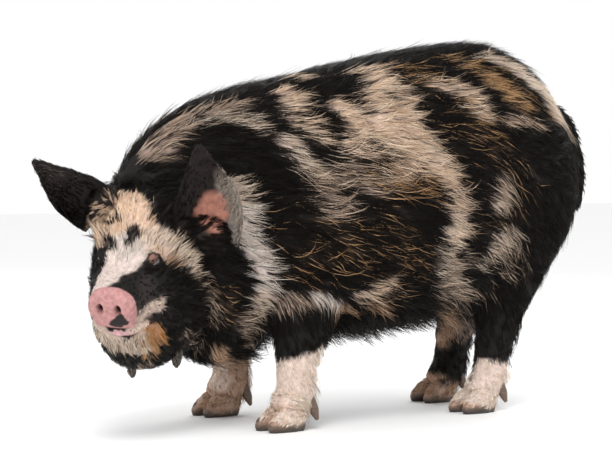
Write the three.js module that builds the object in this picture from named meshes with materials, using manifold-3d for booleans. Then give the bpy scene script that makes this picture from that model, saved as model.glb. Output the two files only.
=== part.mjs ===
// A life-size Kunekune pig, a small, round, hairy farm pig, standing on four feet with its head
// lowered and turned to its left. Millimetres, +Z up. The pig faces -X and its left side is -Y.
// The body is modelled as smooth lofts that are parted with thin cuts, so that each part of the
// animal is a closed solid of its own and meets its neighbours face to face.
import * as THREE from "three";
import { mergeVertices } from "three/addons/utils/BufferGeometryUtils.js";
import Module from "manifold-3d";

const wasm = await Module();
wasm.setup();

const GAP = 0.3; // clear space kept between touching parts
const CORE_SHARE = 0.5; // how much of the coat's depth lies outside the core that locks grow from
const SECTION_POWER = 2.25; // 2 would be an ellipse
const UP = new THREE.Vector3(0, 0, 1);
const RIGHT = new THREE.Vector3(0, 1, 0); // the pig's own right-hand side
const RIGHT_SIDE = 1;
const LEFT_SIDE = -1;

// ---------------------------------------------------------------- driving dimensions

// Trunk stations from the rump to the back of the head: the centre of each section, how far the
// outside of the coat lies above and below it, half its width, how much narrower its top is than
// its bottom, and how deep the coat is there.
const TRUNK = [
  { at: [462, 0, 481], up: 110, down: 136, half: 100, taper: 0.1, coat: 12 },
  { at: [405, 0, 474], up: 193, down: 196, half: 158, taper: 0.1, coat: 14 },
  { at: [310, 0, 463], up: 245, down: 244, half: 195, taper: 0.08, coat: 14 },
  { at: [200, 0, 450], up: 253, down: 257, half: 209, taper: 0.06, coat: 14 },
  { at: [60, 0, 430], up: 249, down: 254, half: 215, taper: 0.05, coat: 14 },
  { at: [-80, 0, 415], up: 237, down: 252, half: 207, taper: 0.08, coat: 14 },
  { at: [-200, 0, 408], up: 218, down: 242, half: 187, taper: 0.12, coat: 14 },
  { at: [-300, -5, 393], up: 203, down: 246, half: 162, taper: 0.15, coat: 14 },
  { at: [-385, -26, 362], up: 184, down: 256, half: 127, taper: 0.1, coat: 14 },
  { at: [-450, -52, 330], up: 152, down: 238, half: 110, taper: 0.1, coat: 12 },
];
const RUMP_CAP = 50;
const NECK_CAP = 30;
const NECK_CUT_X = -262; // the plane that parts the neck from the torso

// The head has a frame of its own: forward along the muzzle, right, and up over the brow.
const HEAD_AT = new THREE.Vector3(-526, -104, 325);
const HEAD_TURN_DEG = 38; // to the pig's left
const HEAD_DROP_DEG = 25;
const HEAD_ROLL_DEG = 5; // left side down
const SKULL = [
  { at: [-120, 0, -70], up: 126, down: 162, half: 106, taper: 0.05, coat: 10 },
  { at: [-75, 0, -62], up: 151, down: 164, half: 111, taper: 0.08, coat: 10 },
  { at: [-25, 0, -52], up: 151, down: 164, half: 103, taper: 0.12, coat: 10 },
  { at: [20, 0, -46], up: 129, down: 158, half: 89, taper: 0.14, coat: 9 },
  { at: [55, 0, -38], up: 88, down: 144, half: 76, taper: 0.06, coat: 6 },
  { at: [88, 0, -32], up: 54, down: 117, half: 59, taper: 0, coat: 3 },
  { at: [118, 0, -26], up: 41, down: 84, half: 48, taper: -0.05, coat: 0 },
  { at: [147, 0, -21], up: 35, down: 54, half: 40, taper: 0, coat: 0 },
];
const SKULL_BACK_CAP = 20;
const SKULL_FRONT_CAP = 4;
const SNOUT = { from: 149, to: 167, bulge: 4, centre: -22, half: 41, up: 34, down: 34 };
const NOSTRIL = { across: 15.5, up: -20, half: 6, tall: 8, deep: 16 };
// The right half of the line of the mouth, from its corner to the middle of the front.
const MOUTH_LINE = [
  [78, 65, -56],
  [108, 53, -58],
  [134, 42, -60],
  [148, 27, -63],
  [151, 0, -64],
];
const MOUTH = { tall: 2.6, deep: 5, out: -2, shift: 0, corner: 0.5 };
const LOWER_LIP = { tall: 4, deep: 4.5, out: 0, shift: -8, corner: 0.45 };
const EYE = { at: [58, 43, 19], radius: 12 };
const LID = { thick: 3.2, open_long: 10.5, open_tall: 5.5, open_deep: 9, slant: 0.25 };

// Legs: hoof centre on the floor, then the stations of the limb from hip or shoulder to pastern.
const FORE_LEG = [
  { rise: 330, back: 55, out: -4, half: 62, front: 74, rear: 84, coat: 12 },
  { rise: 262, back: 45, out: -2, half: 58, front: 68, rear: 84, coat: 12 },
  { rise: 205, back: 36, out: 0, half: 48, front: 57, rear: 74, coat: 10 },
  { rise: 150, back: 27, out: 0, half: 37, front: 43, rear: 52, coat: 4 },
  { rise: 100, back: 24, out: 0, half: 30, front: 34, rear: 35, coat: 0 },
  { rise: 66, back: 24, out: 0, half: 32, front: 34, rear: 36, coat: 0 },
  { rise: 36, back: 6, out: 0, half: 32, front: 35, rear: 34, coat: 0 },
];
const HIND_LEG = [
  { rise: 440, back: 114, out: 4, half: 80, front: 115, rear: 118, coat: 12 },
  { rise: 350, back: 96, out: 8, half: 80, front: 112, rear: 100, coat: 12 },
  { rise: 265, back: 78, out: 4, half: 64, front: 88, rear: 68, coat: 12 },
  { rise: 205, back: 64, out: 0, half: 48, front: 62, rear: 52, coat: 10 },
  { rise: 150, back: 50, out: 0, half: 36, front: 44, rear: 43, coat: 4 },
  { rise: 100, back: 38, out: 0, half: 30, front: 34, rear: 33, coat: 0 },
  { rise: 66, back: 32, out: 0, half: 31, front: 34, rear: 36, coat: 0 },
  { rise: 36, back: 10, out: 0, half: 31, front: 35, rear: 34, coat: 0 },
];
const KNEE_CUT = 150; // height of the cut between the upper and the lower leg
const HIP_CAP = 30;
const PASTERN_CAP = 14;
const LEGS = [
  { name: "fore_left", side: LEFT_SIDE, hoof: [-238, -116], shape: FORE_LEG },
  { name: "fore_right", side: RIGHT_SIDE, hoof: [-210, 142], shape: FORE_LEG },
  { name: "hind_left", side: LEFT_SIDE, hoof: [220, -94], shape: HIND_LEG },
  { name: "hind_right", side: RIGHT_SIDE, hoof: [272, 92], shape: HIND_LEG },
];

// One main claw and one dew claw, along the direction that the toe points.
const CLAW = [
  { ahead: -28, rise: 18, up: 16, down: 28, half: 11 },
  { ahead: -8, rise: 22, up: 26, down: 31, half: 15.5 },
  { ahead: 16, rise: 17, up: 22, down: 26, half: 15 },
  { ahead: 40, rise: 8, up: 9, down: 15, half: 8 },
];
const CLAW_ACROSS = 17.5;
const CLAW_SPLAY_DEG = 5;
const DEW_CLAW = { across: 20, back: 46, rise: 46, length: 30, half: 8, tall: 9, lean_deg: 28 };
const DEW_CLAW_SPLAY = 0.15;
const DEW_CLAW_TIP = 4;

// Ears: a curved, pointed sheet, cupped along its length.
const EAR_WALL = 5;
const EAR_THINNING = 0.35; // the share of the wall that is lost towards the tip
const EAR = [
  { along: -0.12, width: 92, cup: 170 },
  { along: 0.12, width: 118, cup: 150 },
  { along: 0.38, width: 118, cup: 118 },
  { along: 0.62, width: 84, cup: 94 },
  { along: 0.82, width: 44, cup: 80 },
  { along: 0.95, width: 20, cup: 70 },
  { along: 1, width: 10, cup: 60 },
];
const EAR_BASE = { across: 50, along: 40, deep: 28, sink: 40, drop: 12 }; // the firm root of the cup
const EAR_CURL = 18; // how far the tip leans towards the cup's open side
// Where the ears are rooted in the head's frame, on whichever side they are, how they stand and
// which way the cup opens.
const EARS = [
  {
    name: "ear_left",
    side: LEFT_SIDE,
    root: [-40, 116, 14],
    length: 182,
    lean: [-0.05, -0.12, 1],
    face: [0.7, 0.55, 0],
  },
  {
    name: "ear_right",
    side: RIGHT_SIDE,
    root: [-34, 92, 46],
    length: 146,
    lean: [0.1, 0.6, 0.8],
    face: [0.95, 0.1, -0.3],
  },
];

const TAIL = [
  { at: [490, 0, 572], up: 22, down: 22, half: 22 },
  { at: [530, 0, 545], up: 17, down: 17, half: 17 },
  { at: [554, -4, 490], up: 12, down: 12, half: 12 },
  { at: [562, -8, 440], up: 9, down: 9, half: 10 },
  { at: [550, -10, 385], up: 6, down: 6, half: 7 },
];
// A soft tassel of skin hangs from each side of the throat.
const TASSELS = [
  { name: "tassel_left", at: [30, -62, -160], length: 50 },
  { name: "tassel_right", at: [30, 20, -172], length: 46 },
];
const TASSEL_RADIUS = 9;

// A lock of coat at shares of its length, from the root to the tip: its width and thickness, and
// where its thin edges lie between the sunk root (0), the core (1) and the tip (2).
const LOCK_SHAPE = [
  { share: 0, width: 0.5, thick: 0.7, rise: 0 },
  { share: 0.24, width: 1, thick: 1, rise: 0.85 },
  { share: 0.64, width: 0.66, thick: 0.7, rise: 1.45 },
];
const LOCK_THICK = 7;
const LOCK_SINK = 9; // how far a root lies under the core
const LOCK_VARY = { length: 0.2, width: 0.18, lift: 2, turn_deg: 20, row: 0.25, angle: 0.3 };
const LOCK_PIVOT = 0.3; // the share of a lock's length at which it lies true to the coat
// A grown lock is what its neighbours are cut with: how far its tip, its edges, their faces and
// the ridge stand out from the plain lock, as multiples of the gap.
const GROWN_LOCK = { tip: 8, edge: 3, face: 2, ridge: 2.5 };
const CAP_REACH = 0.85; // how far over a rounded end a lock may lie
const PLANE_CLEAR = 2; // how far locks keep from the plane behind the neck
const SLIDE = { step: 0.004, most: 50 }; // how a lock is moved clear of that plane
// Kinds of lock; lift is how far the tip stands above the coat's own depth.
const BODY_LOCKS = { rows: 9, spacing: 98, length: 150, width: 62, lift: 1, seed: 20 };
const HEAD_LOCKS = { rows: 5, spacing: 70, length: 84, width: 38, lift: 0, seed: 3 };
const LEG_LOCKS = { rows: 4, spacing: 76, length: 100, width: 44, lift: 0, seed: 23 };
const FEATHER_LOCKS = { rows: 2, spacing: 42, length: 50, width: 18, lift: 7, seed: 7 };
// The shares of each form between which its locks are rooted.
const ROOTS = { trunk_to: 0.93, head: [0.08, 0.72], leg: [0.2, 0.62], feather: [0.62, 0.8] };
const FRINGE = { lift: 16, from: -180, to: 330, facing: -0.6 }; // under the belly
const CREST = { lift: 8, to: -120, facing: 0.8 }; // along the nape
const FEATHER = { low: 66, below_knee: 6, facing: 0.75 }; // behind the fore legs only
const KNEE_CLEAR = 3; // how far above the cut the locks of an upper leg end
const RUMP_FALL = [395, 470]; // where the lie of the coat turns down over the rump
// How far locks keep from the middle of an ear's root, of an eye, of a tassel's root and the tail.
const KEEP_OFF = { ear: 58, eye: 34, tassel: 30, tail: 40 };
// How far outside a neighbouring form a root or a tip lies, where 1 is on its surface.
const OUTSIDE = { root: 1.02, surface: 1, tip: 0.97 };

// ---------------------------------------------------------------- solids

// A three.js geometry as a manifold-3d solid; a mirrored one has its faces turned over.
function solid(geometry, mirrored = false) {
  const bare = geometry.index ? geometry.toNonIndexed() : geometry.clone();
  bare.deleteAttribute("normal");
  bare.deleteAttribute("uv");
  const merged = mergeVertices(bare, 1e-3);
  const corners = [];
  const index = merged.index.array;
  for (let i = 0; i < index.length; i += 3) {
    const [a, b, c] = [index[i], index[i + (mirrored ? 2 : 1)], index[i + (mirrored ? 1 : 2)]];
    if (a !== b && b !== c && c !== a) corners.push(a, b, c);
  }
  return new wasm.Manifold(
    new wasm.Mesh({
      numProp: 3,
      vertProperties: merged.attributes.position.array,
      triVerts: new Uint32Array(corners),
    }),
  );
}

// The largest closed body of a solid: drops loose scraps and fills sealed hollows.
function largest(shape) {
  return shape.decompose().reduce((a, b) => (b.volume() > a.volume() ? b : a));
}

// A closed surface through rings of points, each ring running round the same way.
function skin(rings, closeEnd) {
  const points = [];
  const index = [];
  const sides = rings[0].length;
  rings.forEach((ring) => ring.forEach((p) => points.push(p.x, p.y, p.z)));
  for (let i = 0; i + 1 < rings.length; i++)
    for (let j = 0; j < sides; j++) {
      const a = i * sides + j;
      const b = i * sides + ((j + 1) % sides);
      index.push(a, a + sides, b, b, a + sides, b + sides);
    }
  closeEnd(index, points, rings, 0, false);
  closeEnd(index, points, rings, rings.length - 1, true);
  const geometry = new THREE.BufferGeometry();
  geometry.setAttribute("position", new THREE.BufferAttribute(new Float32Array(points), 3));
  geometry.setIndex(index);
  return geometry;
}

// Closes a round end with a fan from its middle.
function fanEnd(index, points, rings, i, atEnd) {
  const ring = rings[i];
  const sides = ring.length;
  const middle = ring.reduce((sum, p) => sum.add(p), new THREE.Vector3()).divideScalar(sides);
  const apex = points.length / 3;
  points.push(middle.x, middle.y, middle.z);
  for (let j = 0; j < sides; j++) {
    const a = i * sides + j;
    const b = i * sides + ((j + 1) % sides);
    if (atEnd) index.push(a, apex, b);
    else index.push(b, apex, a);
  }
}

// Closes the end of a folded sheet, whose ring goes out along one face and back along the other.
function stripEnd(index, points, rings, i, atEnd) {
  const sides = rings[i].length;
  for (let j = 0; j < sides / 2 - 1; j++) {
    const [a, b] = [i * sides + j, i * sides + j + 1];
    const [c, d] = [i * sides + sides - 2 - j, i * sides + sides - 1 - j];
    if (atEnd) index.push(a, d, b, b, d, c);
    else index.push(a, b, d, b, c, d);
  }
}

// Sections are a little fuller than an ellipse.
const fuller = (x) => Math.sign(x) * Math.abs(x) ** (2 / SECTION_POWER);

// The surface of a limb or trunk as a function of the way along it (0 to 1) and the angle round
// it. Stations are joined by a smooth curve with oval sections, and beyond either end the surface
// rounds off over a cap. right is the direction of the width, and "up" of a section is
// right x forward.
function form(stations, { right = RIGHT, startCap, endCap }) {
  const smooth = (points) => new THREE.CatmullRomCurve3(points, false, "catmullrom", 0.5);
  const path = smooth(stations.map((s) => new THREE.Vector3(...s.at)));
  const sizes = smooth(stations.map((s) => new THREE.Vector3(s.half, s.up, s.down)));
  const extras = smooth(stations.map((s) => new THREE.Vector3(s.taper ?? 0, s.coat ?? 0, 0)));
  const capShare = { start: startCap / path.getLength(), end: endCap / path.getLength() };
  // The section at t: its middle, its directions and its sizes.
  const section = (t) => {
    const forward = path.getTangent(t);
    const across = right.clone().addScaledVector(forward, -right.dot(forward)).normalize();
    const up = new THREE.Vector3().crossVectors(across, forward);
    const taper = extras.getPoint(t).x;
    return { centre: path.getPoint(t), forward, across, up, size: sizes.getPoint(t), taper };
  };
  const at = (along, angle, out) => {
    const t = THREE.MathUtils.clamp(along, 0, 1);
    const past = along - t;
    const cap = past < 0 ? capShare.start : capShare.end;
    const round = (Math.PI / 2) * Math.min(1, Math.abs(past) / cap);
    const shift = past < 0 ? -(startCap + out) * Math.sin(round) : (endCap + out) * Math.sin(round);
    const scale = Math.cos(round);
    const { centre, forward, across, up, size, taper } = section(t);
    centre.addScaledVector(forward, shift);
    const [c, s] = [fuller(Math.cos(angle)), fuller(Math.sin(angle))];
    const wide = (size.x * (1 - taper * s) + out) * c * scale;
    const tall = ((s > 0 ? size.y : size.z) + out) * s * scale;
    return centre.addScaledVector(across, wide).addScaledVector(up, tall);
  };
  const coat = (along) => extras.getPoint(THREE.MathUtils.clamp(along, 0, 1)).y;
  // Under 1 inside the form and over 1 outside it.
  const level = (point) => {
    const steps = 40;
    const nearest = { gap: Infinity };
    for (let i = 0; i <= steps; i++) {
      const t = i / steps;
      const gap = path.getPoint(t).distanceTo(point);
      if (gap < nearest.gap) Object.assign(nearest, { gap, t });
    }
    const { centre, forward, across, up, size, taper } = section(nearest.t);
    const from = point.clone().sub(centre);
    const past = Math.abs(from.dot(forward)) / (startCap + path.getLength() / steps);
    const tall = from.dot(up) / (from.dot(up) > 0 ? size.y : size.z);
    const wide = from.dot(across) / (size.x * (1 - taper * tall));
    return Math.hypot(wide, tall, past);
  };
  return { at, coat, level, capShare };
}

const FIRST_CAP_RING = 0.35; // how far from the pole the first ring of a rounded end lies
// A closed solid of a form, grown by some way; core takes off the outer half of the coat.
function loft(body, { rings, sides, capRings = 2, grow = 0, core = 0 }) {
  const ring = (along) => {
    const out = grow - core * body.coat(along);
    return Array.from({ length: sides }, (_, j) => body.at(along, (2 * Math.PI * j) / sides, out));
  };
  const made = [];
  const capStep = (k) => 1 - (k + FIRST_CAP_RING) / capRings;
  for (let k = 0; k < capRings; k++) made.push(ring(-body.capShare.start * capStep(k)));
  for (let i = 0; i <= rings; i++) made.push(ring(i / rings));
  for (let k = capRings - 1; k >= 0; k--) made.push(ring(1 + body.capShare.end * capStep(k)));
  return solid(skin(made, fanEnd));
}

// ---------------------------------------------------------------- trunk

const trunkForm = form(TRUNK, { startCap: RUMP_CAP, endCap: NECK_CAP });
const trunk = (grow) =>
  loft(trunkForm, { rings: 18, sides: 26, capRings: 3, grow, core: CORE_SHARE });

// ---------------------------------------------------------------- head

const headPose = new THREE.Matrix4();
{
  const turn = THREE.MathUtils.degToRad(HEAD_TURN_DEG);
  const drop = THREE.MathUtils.degToRad(HEAD_DROP_DEG);
  const roll = THREE.MathUtils.degToRad(HEAD_ROLL_DEG);
  const forward = new THREE.Vector3(
    -Math.cos(drop) * Math.cos(turn),
    -Math.cos(drop) * Math.sin(turn),
    -Math.sin(drop),
  );
  const left = new THREE.Vector3().crossVectors(UP, forward).normalize();
  left.applyAxisAngle(forward, -roll);
  const up = new THREE.Vector3().crossVectors(forward, left);
  headPose.makeBasis(forward, left.clone().negate(), up).setPosition(HEAD_AT);
}
// A shape drawn in the head's frame, which is left-handed, as a solid.
const headSolid = (geometry) => solid(geometry.applyMatrix4(headPose), true);
// A point given as forward, right and up in the head's frame.
const inHead = (f, r, u) => new THREE.Vector3(f, r, u).applyMatrix4(headPose);
const headDirection = (f, r, u) => new THREE.Vector3(f, r, u).transformDirection(headPose);
const headRight = headDirection(0, 1, 0);

// What lies behind a plane across the head, a given way forward.
function facingBack(shape, f) {
  const n = headDirection(1, 0, 0);
  return shape.trimByPlane([-n.x, -n.y, -n.z], -n.dot(inHead(f, 0, 0)));
}

const skullForm = form(
  SKULL.map((s) => ({ ...s, at: inHead(...s.at).toArray() })),
  { right: headRight, startCap: SKULL_BACK_CAP, endCap: SKULL_FRONT_CAP },
);
const skull = (grow) => loft(skullForm, { rings: 15, sides: 22, grow, core: CORE_SHARE });

// The bare disc at the end of the snout, flat at the back, rounded at the rim.
function snoutDisc() {
  const ring = (f, inset) => ({
    at: inHead(f, 0, SNOUT.centre).toArray(),
    up: SNOUT.up - inset,
    down: SNOUT.down - inset,
    half: SNOUT.half - inset,
  });
  const rim = SNOUT.to - SNOUT.from - SNOUT.bulge;
  const stations = [
    ring(SNOUT.from, 2.5),
    ring(SNOUT.from + rim * 0.5, 0),
    ring(SNOUT.from + rim, 2.5),
  ];
  const disc = form(stations, { right: headRight, startCap: 0.5, endCap: SNOUT.bulge });
  return loft(disc, { rings: 3, sides: 20, capRings: 1 });
}

function nostril(side) {
  const shape = new THREE.SphereGeometry(1, 10, 6);
  shape.scale(NOSTRIL.deep, NOSTRIL.half, NOSTRIL.tall);
  shape.translate(SNOUT.to, side * NOSTRIL.across, NOSTRIL.up);
  return headSolid(shape);
}

// A tube along the line of the mouth, from one corner round the front to the other: set in by
// some way from the lips and shifted up.
function mouthTube({ tall, deep, out, shift, corner }) {
  const leftHalf = MOUTH_LINE.map(([f, r, u]) => [f, -r, u]);
  const line = [...leftHalf, ...MOUTH_LINE.slice(0, -1).reverse()];
  const stations = line.map(([f, r, u], i) => {
    const size = i === 0 || i === line.length - 1 ? corner : 1;
    const away = new THREE.Vector3(0.5 * (f - MOUTH_LINE[0][0]), r, 0).normalize();
    const at = inHead(f + out * away.x, r + out * away.y, u + shift).toArray();
    return { at, half: tall * size, up: deep * size, down: deep * size };
  });
  const tube = form(stations, { right: headDirection(0, 0, 1), startCap: 2, endCap: 2 });
  return loft(tube, { rings: 14, sides: 6, capRings: 1 });
}

function ball(centre, radius, wide = 12, high = 8) {
  const shape = new THREE.SphereGeometry(radius, wide, high);
  shape.translate(centre.x, centre.y, centre.z);
  return solid(shape);
}
const eyeCentre = (side) => inHead(EYE.at[0], side * EYE.at[1], EYE.at[2]);

// The almond-shaped opening between the lids, over the outer side of an eye.
function lidOpening(side) {
  const outward = new THREE.Vector3(0.5, side, 0.1).normalize();
  const length = new THREE.Vector3(1, 0, -LID.slant);
  length.addScaledVector(outward, -length.dot(outward)).normalize();
  const shape = new THREE.SphereGeometry(1, 10, 8);
  const tall = new THREE.Vector3().crossVectors(length, outward);
  shape.scale(LID.open_long, LID.open_deep, LID.open_tall);
  const middle = new THREE.Vector3(...EYE.at).setY(side * EYE.at[1]);
  middle.addScaledVector(outward, EYE.radius);
  shape.applyMatrix4(new THREE.Matrix4().makeBasis(length, outward, tall).setPosition(middle));
  return headSolid(shape);
}

function ear({ side, root, length, lean, face }) {
  const base = inHead(root[0], side * root[1], root[2]);
  const axis = headDirection(lean[0], side * lean[1], lean[2]);
  const hollow = headDirection(face[0], side * face[1], face[2]);
  hollow.addScaledVector(axis, -hollow.dot(axis)).normalize();
  const across = new THREE.Vector3().crossVectors(axis, hollow);
  const steps = 9;
  const arcPoints = 6;
  const shape = new THREE.CatmullRomCurve3(
    EAR.map((s) => new THREE.Vector3(s.along, s.width, s.cup)),
    false,
    "catmullrom",
    0.5,
  );
  const rings = [];
  for (let i = 0; i <= steps; i++) {
    const s = shape.getPoint(i / steps);
    const half = THREE.MathUtils.degToRad(s.z) / 2;
    const radius = s.y / 2 / Math.sin(Math.min(half, Math.PI / 2));
    const centre = base
      .clone()
      .addScaledVector(axis, s.x * length)
      .addScaledVector(hollow, EAR_CURL * s.x * s.x);
    const wall = EAR_WALL * (1 - EAR_THINNING * Math.max(0, s.x));
    const arc = (r, k) => {
      const angle = half * ((2 * k) / (arcPoints - 1) - 1);
      return centre
        .clone()
        .addScaledVector(across, r * Math.sin(angle))
        .addScaledVector(hollow, radius * Math.cos(half) - r * Math.cos(angle));
    };
    const outer = Array.from({ length: arcPoints }, (_, k) => arc(radius + wall / 2, k));
    const inner = Array.from({ length: arcPoints }, (_, k) =>
      arc(Math.max(radius - wall / 2, 1), arcPoints - 1 - k),
    );
    rings.push([...outer, ...inner]);
  }
  const bulb = new THREE.SphereGeometry(1, 10, 6);
  bulb.scale(EAR_BASE.across, EAR_BASE.along, EAR_BASE.deep);
  const pose = new THREE.Matrix4().makeBasis(across, axis, hollow);
  const middle = base.clone().addScaledVector(hollow, -EAR_BASE.sink);
  pose.setPosition(middle.addScaledVector(axis, -EAR_BASE.drop));
  return solid(skin(rings, stripEnd)).add(solid(bulb.applyMatrix4(pose)));
}

// ---------------------------------------------------------------- legs

const legStations = (leg) =>
  leg.shape.map((s) => ({
    at: [leg.hoof[0] + s.back, leg.hoof[1] + leg.side * s.out, s.rise],
    half: s.half,
    up: s.front,
    down: s.rear,
    coat: s.coat,
  }));
const legForm = (leg) => form(legStations(leg), { startCap: HIP_CAP, endCap: PASTERN_CAP });
const limb = (leg, grow) =>
  loft(legForm(leg), { rings: 12, sides: 14, grow, core: CORE_SHARE });

function claw(leg, inner) {
  const splay = THREE.MathUtils.degToRad(CLAW_SPLAY_DEG) * inner;
  const toe = new THREE.Vector3(-Math.cos(splay), Math.sin(splay), 0);
  const centre = new THREE.Vector3(leg.hoof[0], leg.hoof[1] + inner * CLAW_ACROSS, 0);
  const stations = CLAW.map((s) => ({
    at: centre.clone().addScaledVector(toe, s.ahead).setZ(s.rise).toArray(),
    up: s.up,
    down: s.down,
    half: s.half,
  }));
  const body = form(stations, { startCap: 6, endCap: 7 });
  return loft(body, { rings: 4, sides: 8, capRings: 1 }).trimByPlane([0, 0, 1], 0);
}

function dewClaw(leg, inner) {
  const lean = THREE.MathUtils.degToRad(DEW_CLAW.lean_deg);
  const top = new THREE.Vector3(
    leg.hoof[0] + DEW_CLAW.back,
    leg.hoof[1] + inner * DEW_CLAW.across,
    DEW_CLAW.rise,
  );
  const splay = inner * DEW_CLAW_SPLAY;
  const down = new THREE.Vector3(Math.sin(lean) * 0.6, splay, -Math.cos(lean)).normalize();
  const station = (k, half, tall) => ({
    at: top.clone().addScaledVector(down, k * DEW_CLAW.length).toArray(),
    half,
    up: tall,
    down: tall,
  });
  const stations = [
    station(-0.4, DEW_CLAW.half, DEW_CLAW.tall),
    station(0.35, DEW_CLAW.half, DEW_CLAW.tall),
    station(0.9, DEW_CLAW_TIP, DEW_CLAW_TIP),
  ];
  return loft(form(stations, { startCap: 3, endCap: 4 }), { rings: 2, sides: 6, capRings: 1 });
}

// ---------------------------------------------------------------- coat

// Random numbers from 0 to 1, the same each time for the same seed.
function seeded(seed) {
  let state = seed;
  return () => {
    state = (state * 16807) % 2147483647;
    return state / 2147483647;
  };
}

// How a form's surface runs at a place: along it, round it and outwards.
function tangents(body, { along, angle }) {
  const step = 1e-3;
  const here = body.at(along, angle, 0);
  const lengthwise = body.at(along + step, angle, 0).sub(here).divideScalar(step);
  const round = body.at(along, angle + step, 0).sub(here).divideScalar(step);
  const outward = new THREE.Vector3().crossVectors(lengthwise, round).normalize();
  return { here, lengthwise, round, outward };
}

// The place on a form a distance away from another, in a direction that lies in its surface.
function move(body, place, direction, distance) {
  const { lengthwise, round } = tangents(body, place);
  const [ll, lr, rr] = [lengthwise.dot(lengthwise), lengthwise.dot(round), round.dot(round)];
  const [dl, dr] = [direction.dot(lengthwise), direction.dot(round)];
  const share = distance / (ll * rr - lr * lr);
  const first = -CAP_REACH * body.capShare.start;
  const last = 1 + CAP_REACH * body.capShare.end;
  return {
    along: THREE.MathUtils.clamp(place.along + share * (dl * rr - dr * lr), first, last),
    angle: place.angle + share * (dr * ll - dl * lr),
  };
}

// The rings of a lock that leaves the core at a place and lies along the coat to its tip. The
// rings are three-cornered, and those of a grown lock have blunt edges all round the plain one.
function lockRings(body, start, kind, grow) {
  let place = start;
  let before = null;
  return [...LOCK_SHAPE, { share: 1, rise: 2 }].map((shape, i) => {
    const { here, outward } = tangents(body, place);
    const heading = kind.lie(here);
    heading.addScaledVector(outward, -heading.dot(outward)).normalize();
    heading.applyAxisAngle(outward, kind.turn * (shape.share - LOCK_PIVOT));
    const core = -CORE_SHARE * body.coat(place.along);
    const rise = shape.rise - 1;
    const out = rise < 0 ? core + rise * LOCK_SINK : core + rise * (kind.lift - core);
    const next = LOCK_SHAPE[i + 1]?.share ?? 1;
    const from = place;
    place = move(body, from, heading, kind.length * (next - shape.share));
    const middle = body.at(from.along, from.angle, out);
    const onward = middle.clone().sub(before ?? middle).normalize();
    before = middle.clone();
    if (!shape.width) return [middle.addScaledVector(onward, GROWN_LOCK.tip * grow)];
    const aside = new THREE.Vector3().crossVectors(heading, outward);
    const corner = (side, up) => {
      const spot = move(body, from, aside, (side * kind.width * shape.width) / 2);
      const point = body.at(spot.along, spot.angle, out);
      point.addScaledVector(aside, GROWN_LOCK.edge * side * grow);
      return point.addScaledVector(outward, GROWN_LOCK.face * up * grow);
    };
    const height = LOCK_THICK * shape.thick + GROWN_LOCK.ridge * grow;
    const ridge = middle.addScaledVector(outward, height);
    if (!grow) return [corner(-1, 0), ridge, corner(1, 0)];
    return [corner(-1, 1), ridge, corner(1, 1), corner(1, -1), corner(-1, -1)];
  });
}

// A closed solid through the rings of a lock to its tip.
function lockSolid(rings) {
  const points = rings.flat();
  const last = rings.length - 2;
  const sides = rings[0].length;
  const index = [];
  for (let j = 1; j + 1 < sides; j++) index.push(0, j + 1, j);
  for (let i = 0; i <= last; i++)
    for (let j = 0; j < sides; j++) {
      const [a, b] = [sides * i + j, sides * i + ((j + 1) % sides)];
      if (i < last) index.push(a, b, b + sides, a, b + sides, a + sides);
      else index.push(a, b, points.length - 1);
    }
  const geometry = new THREE.BufferGeometry().setFromPoints(points);
  geometry.setIndex(index);
  return solid(geometry);
}

// Locks spread evenly over a form in staggered rows. allowed(root, tip) leaves some out, and
// each lock lies on one side of the plane x = bound.
function coatOf(body, kind, { from, to, lie, lift, allowed, bound = -Infinity }) {
  const random = seeded(kind.seed);
  const either = () => 2 * random() - 1;
  const chosen = [];
  for (let i = 0; i < kind.rows; i++) {
    const row = from + ((to - from) * (i + 0.5)) / kind.rows;
    const ring = Array.from({ length: 25 }, (_, j) => body.at(row, (Math.PI * j) / 12, 0));
    const round = ring.slice(1).reduce((sum, p, j) => sum + p.distanceTo(ring[j]), 0);
    const count = Math.max(3, Math.round(round / kind.spacing));
    for (let j = 0; j < count; j++) {
      const along = row + ((to - from) / kind.rows) * LOCK_VARY.row * either();
      const stagger = 0.5 * (i % 2);
      const shift = LOCK_VARY.angle * (random() - 0.5);
      const angle = (2 * Math.PI * (j + stagger + shift)) / count;
      const { here, outward } = tangents(body, { along, angle });
      const made = {
        lie,
        length: kind.length * (1 + LOCK_VARY.length * either()),
        width: kind.width * (1 + LOCK_VARY.width * either()),
        lift: kind.lift + lift(here, outward) + LOCK_VARY.lift * either(),
        turn: THREE.MathUtils.degToRad(LOCK_VARY.turn_deg) * either(),
      };
      const place = clearOf(bound, body, { along, angle }, made);
      const rings = lockRings(body, place, made, 0);
      if (allowed(rings[0][1], rings.at(-1)[0], outward)) chosen.push({ place, made });
    }
  }
  return (grow) =>
    wasm.Manifold.union(chosen.map((c) => lockSolid(lockRings(body, c.place, c.made, grow))));
}

// Slides a lock along its form, by the least either way, until it crosses no plane x = bound.
function clearOf(bound, body, place, made) {
  const crosses = (spot) => {
    const xs = lockRings(body, spot, made, GAP).flat().map((p) => p.x);
    return Math.max(...xs) > bound - PLANE_CLEAR && Math.min(...xs) < bound + PLANE_CLEAR;
  };
  for (let tries = 0; tries < SLIDE.most; tries++)
    for (const way of [1, -1]) {
      const spot = { along: place.along + way * tries * SLIDE.step, angle: place.angle };
      if (!crosses(spot)) return spot;
    }
  return place;
}

// ---------------------------------------------------------------- assembly

const FINISH = {
  black: { color: 0x1d1a19, roughness: 0.8, metalness: 0 },
  ginger: { color: 0xb98a5e, roughness: 0.8, metalness: 0 },
  pale: { color: 0xd9c4b2, roughness: 0.8, metalness: 0 },
  pink: { color: 0xcf9a94, roughness: 0.55, metalness: 0 },
  horn: { color: 0x7a5a48, roughness: 0.45, metalness: 0 },
  eye: { color: 0x2a1710, roughness: 0.1, metalness: 0 },
};

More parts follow.
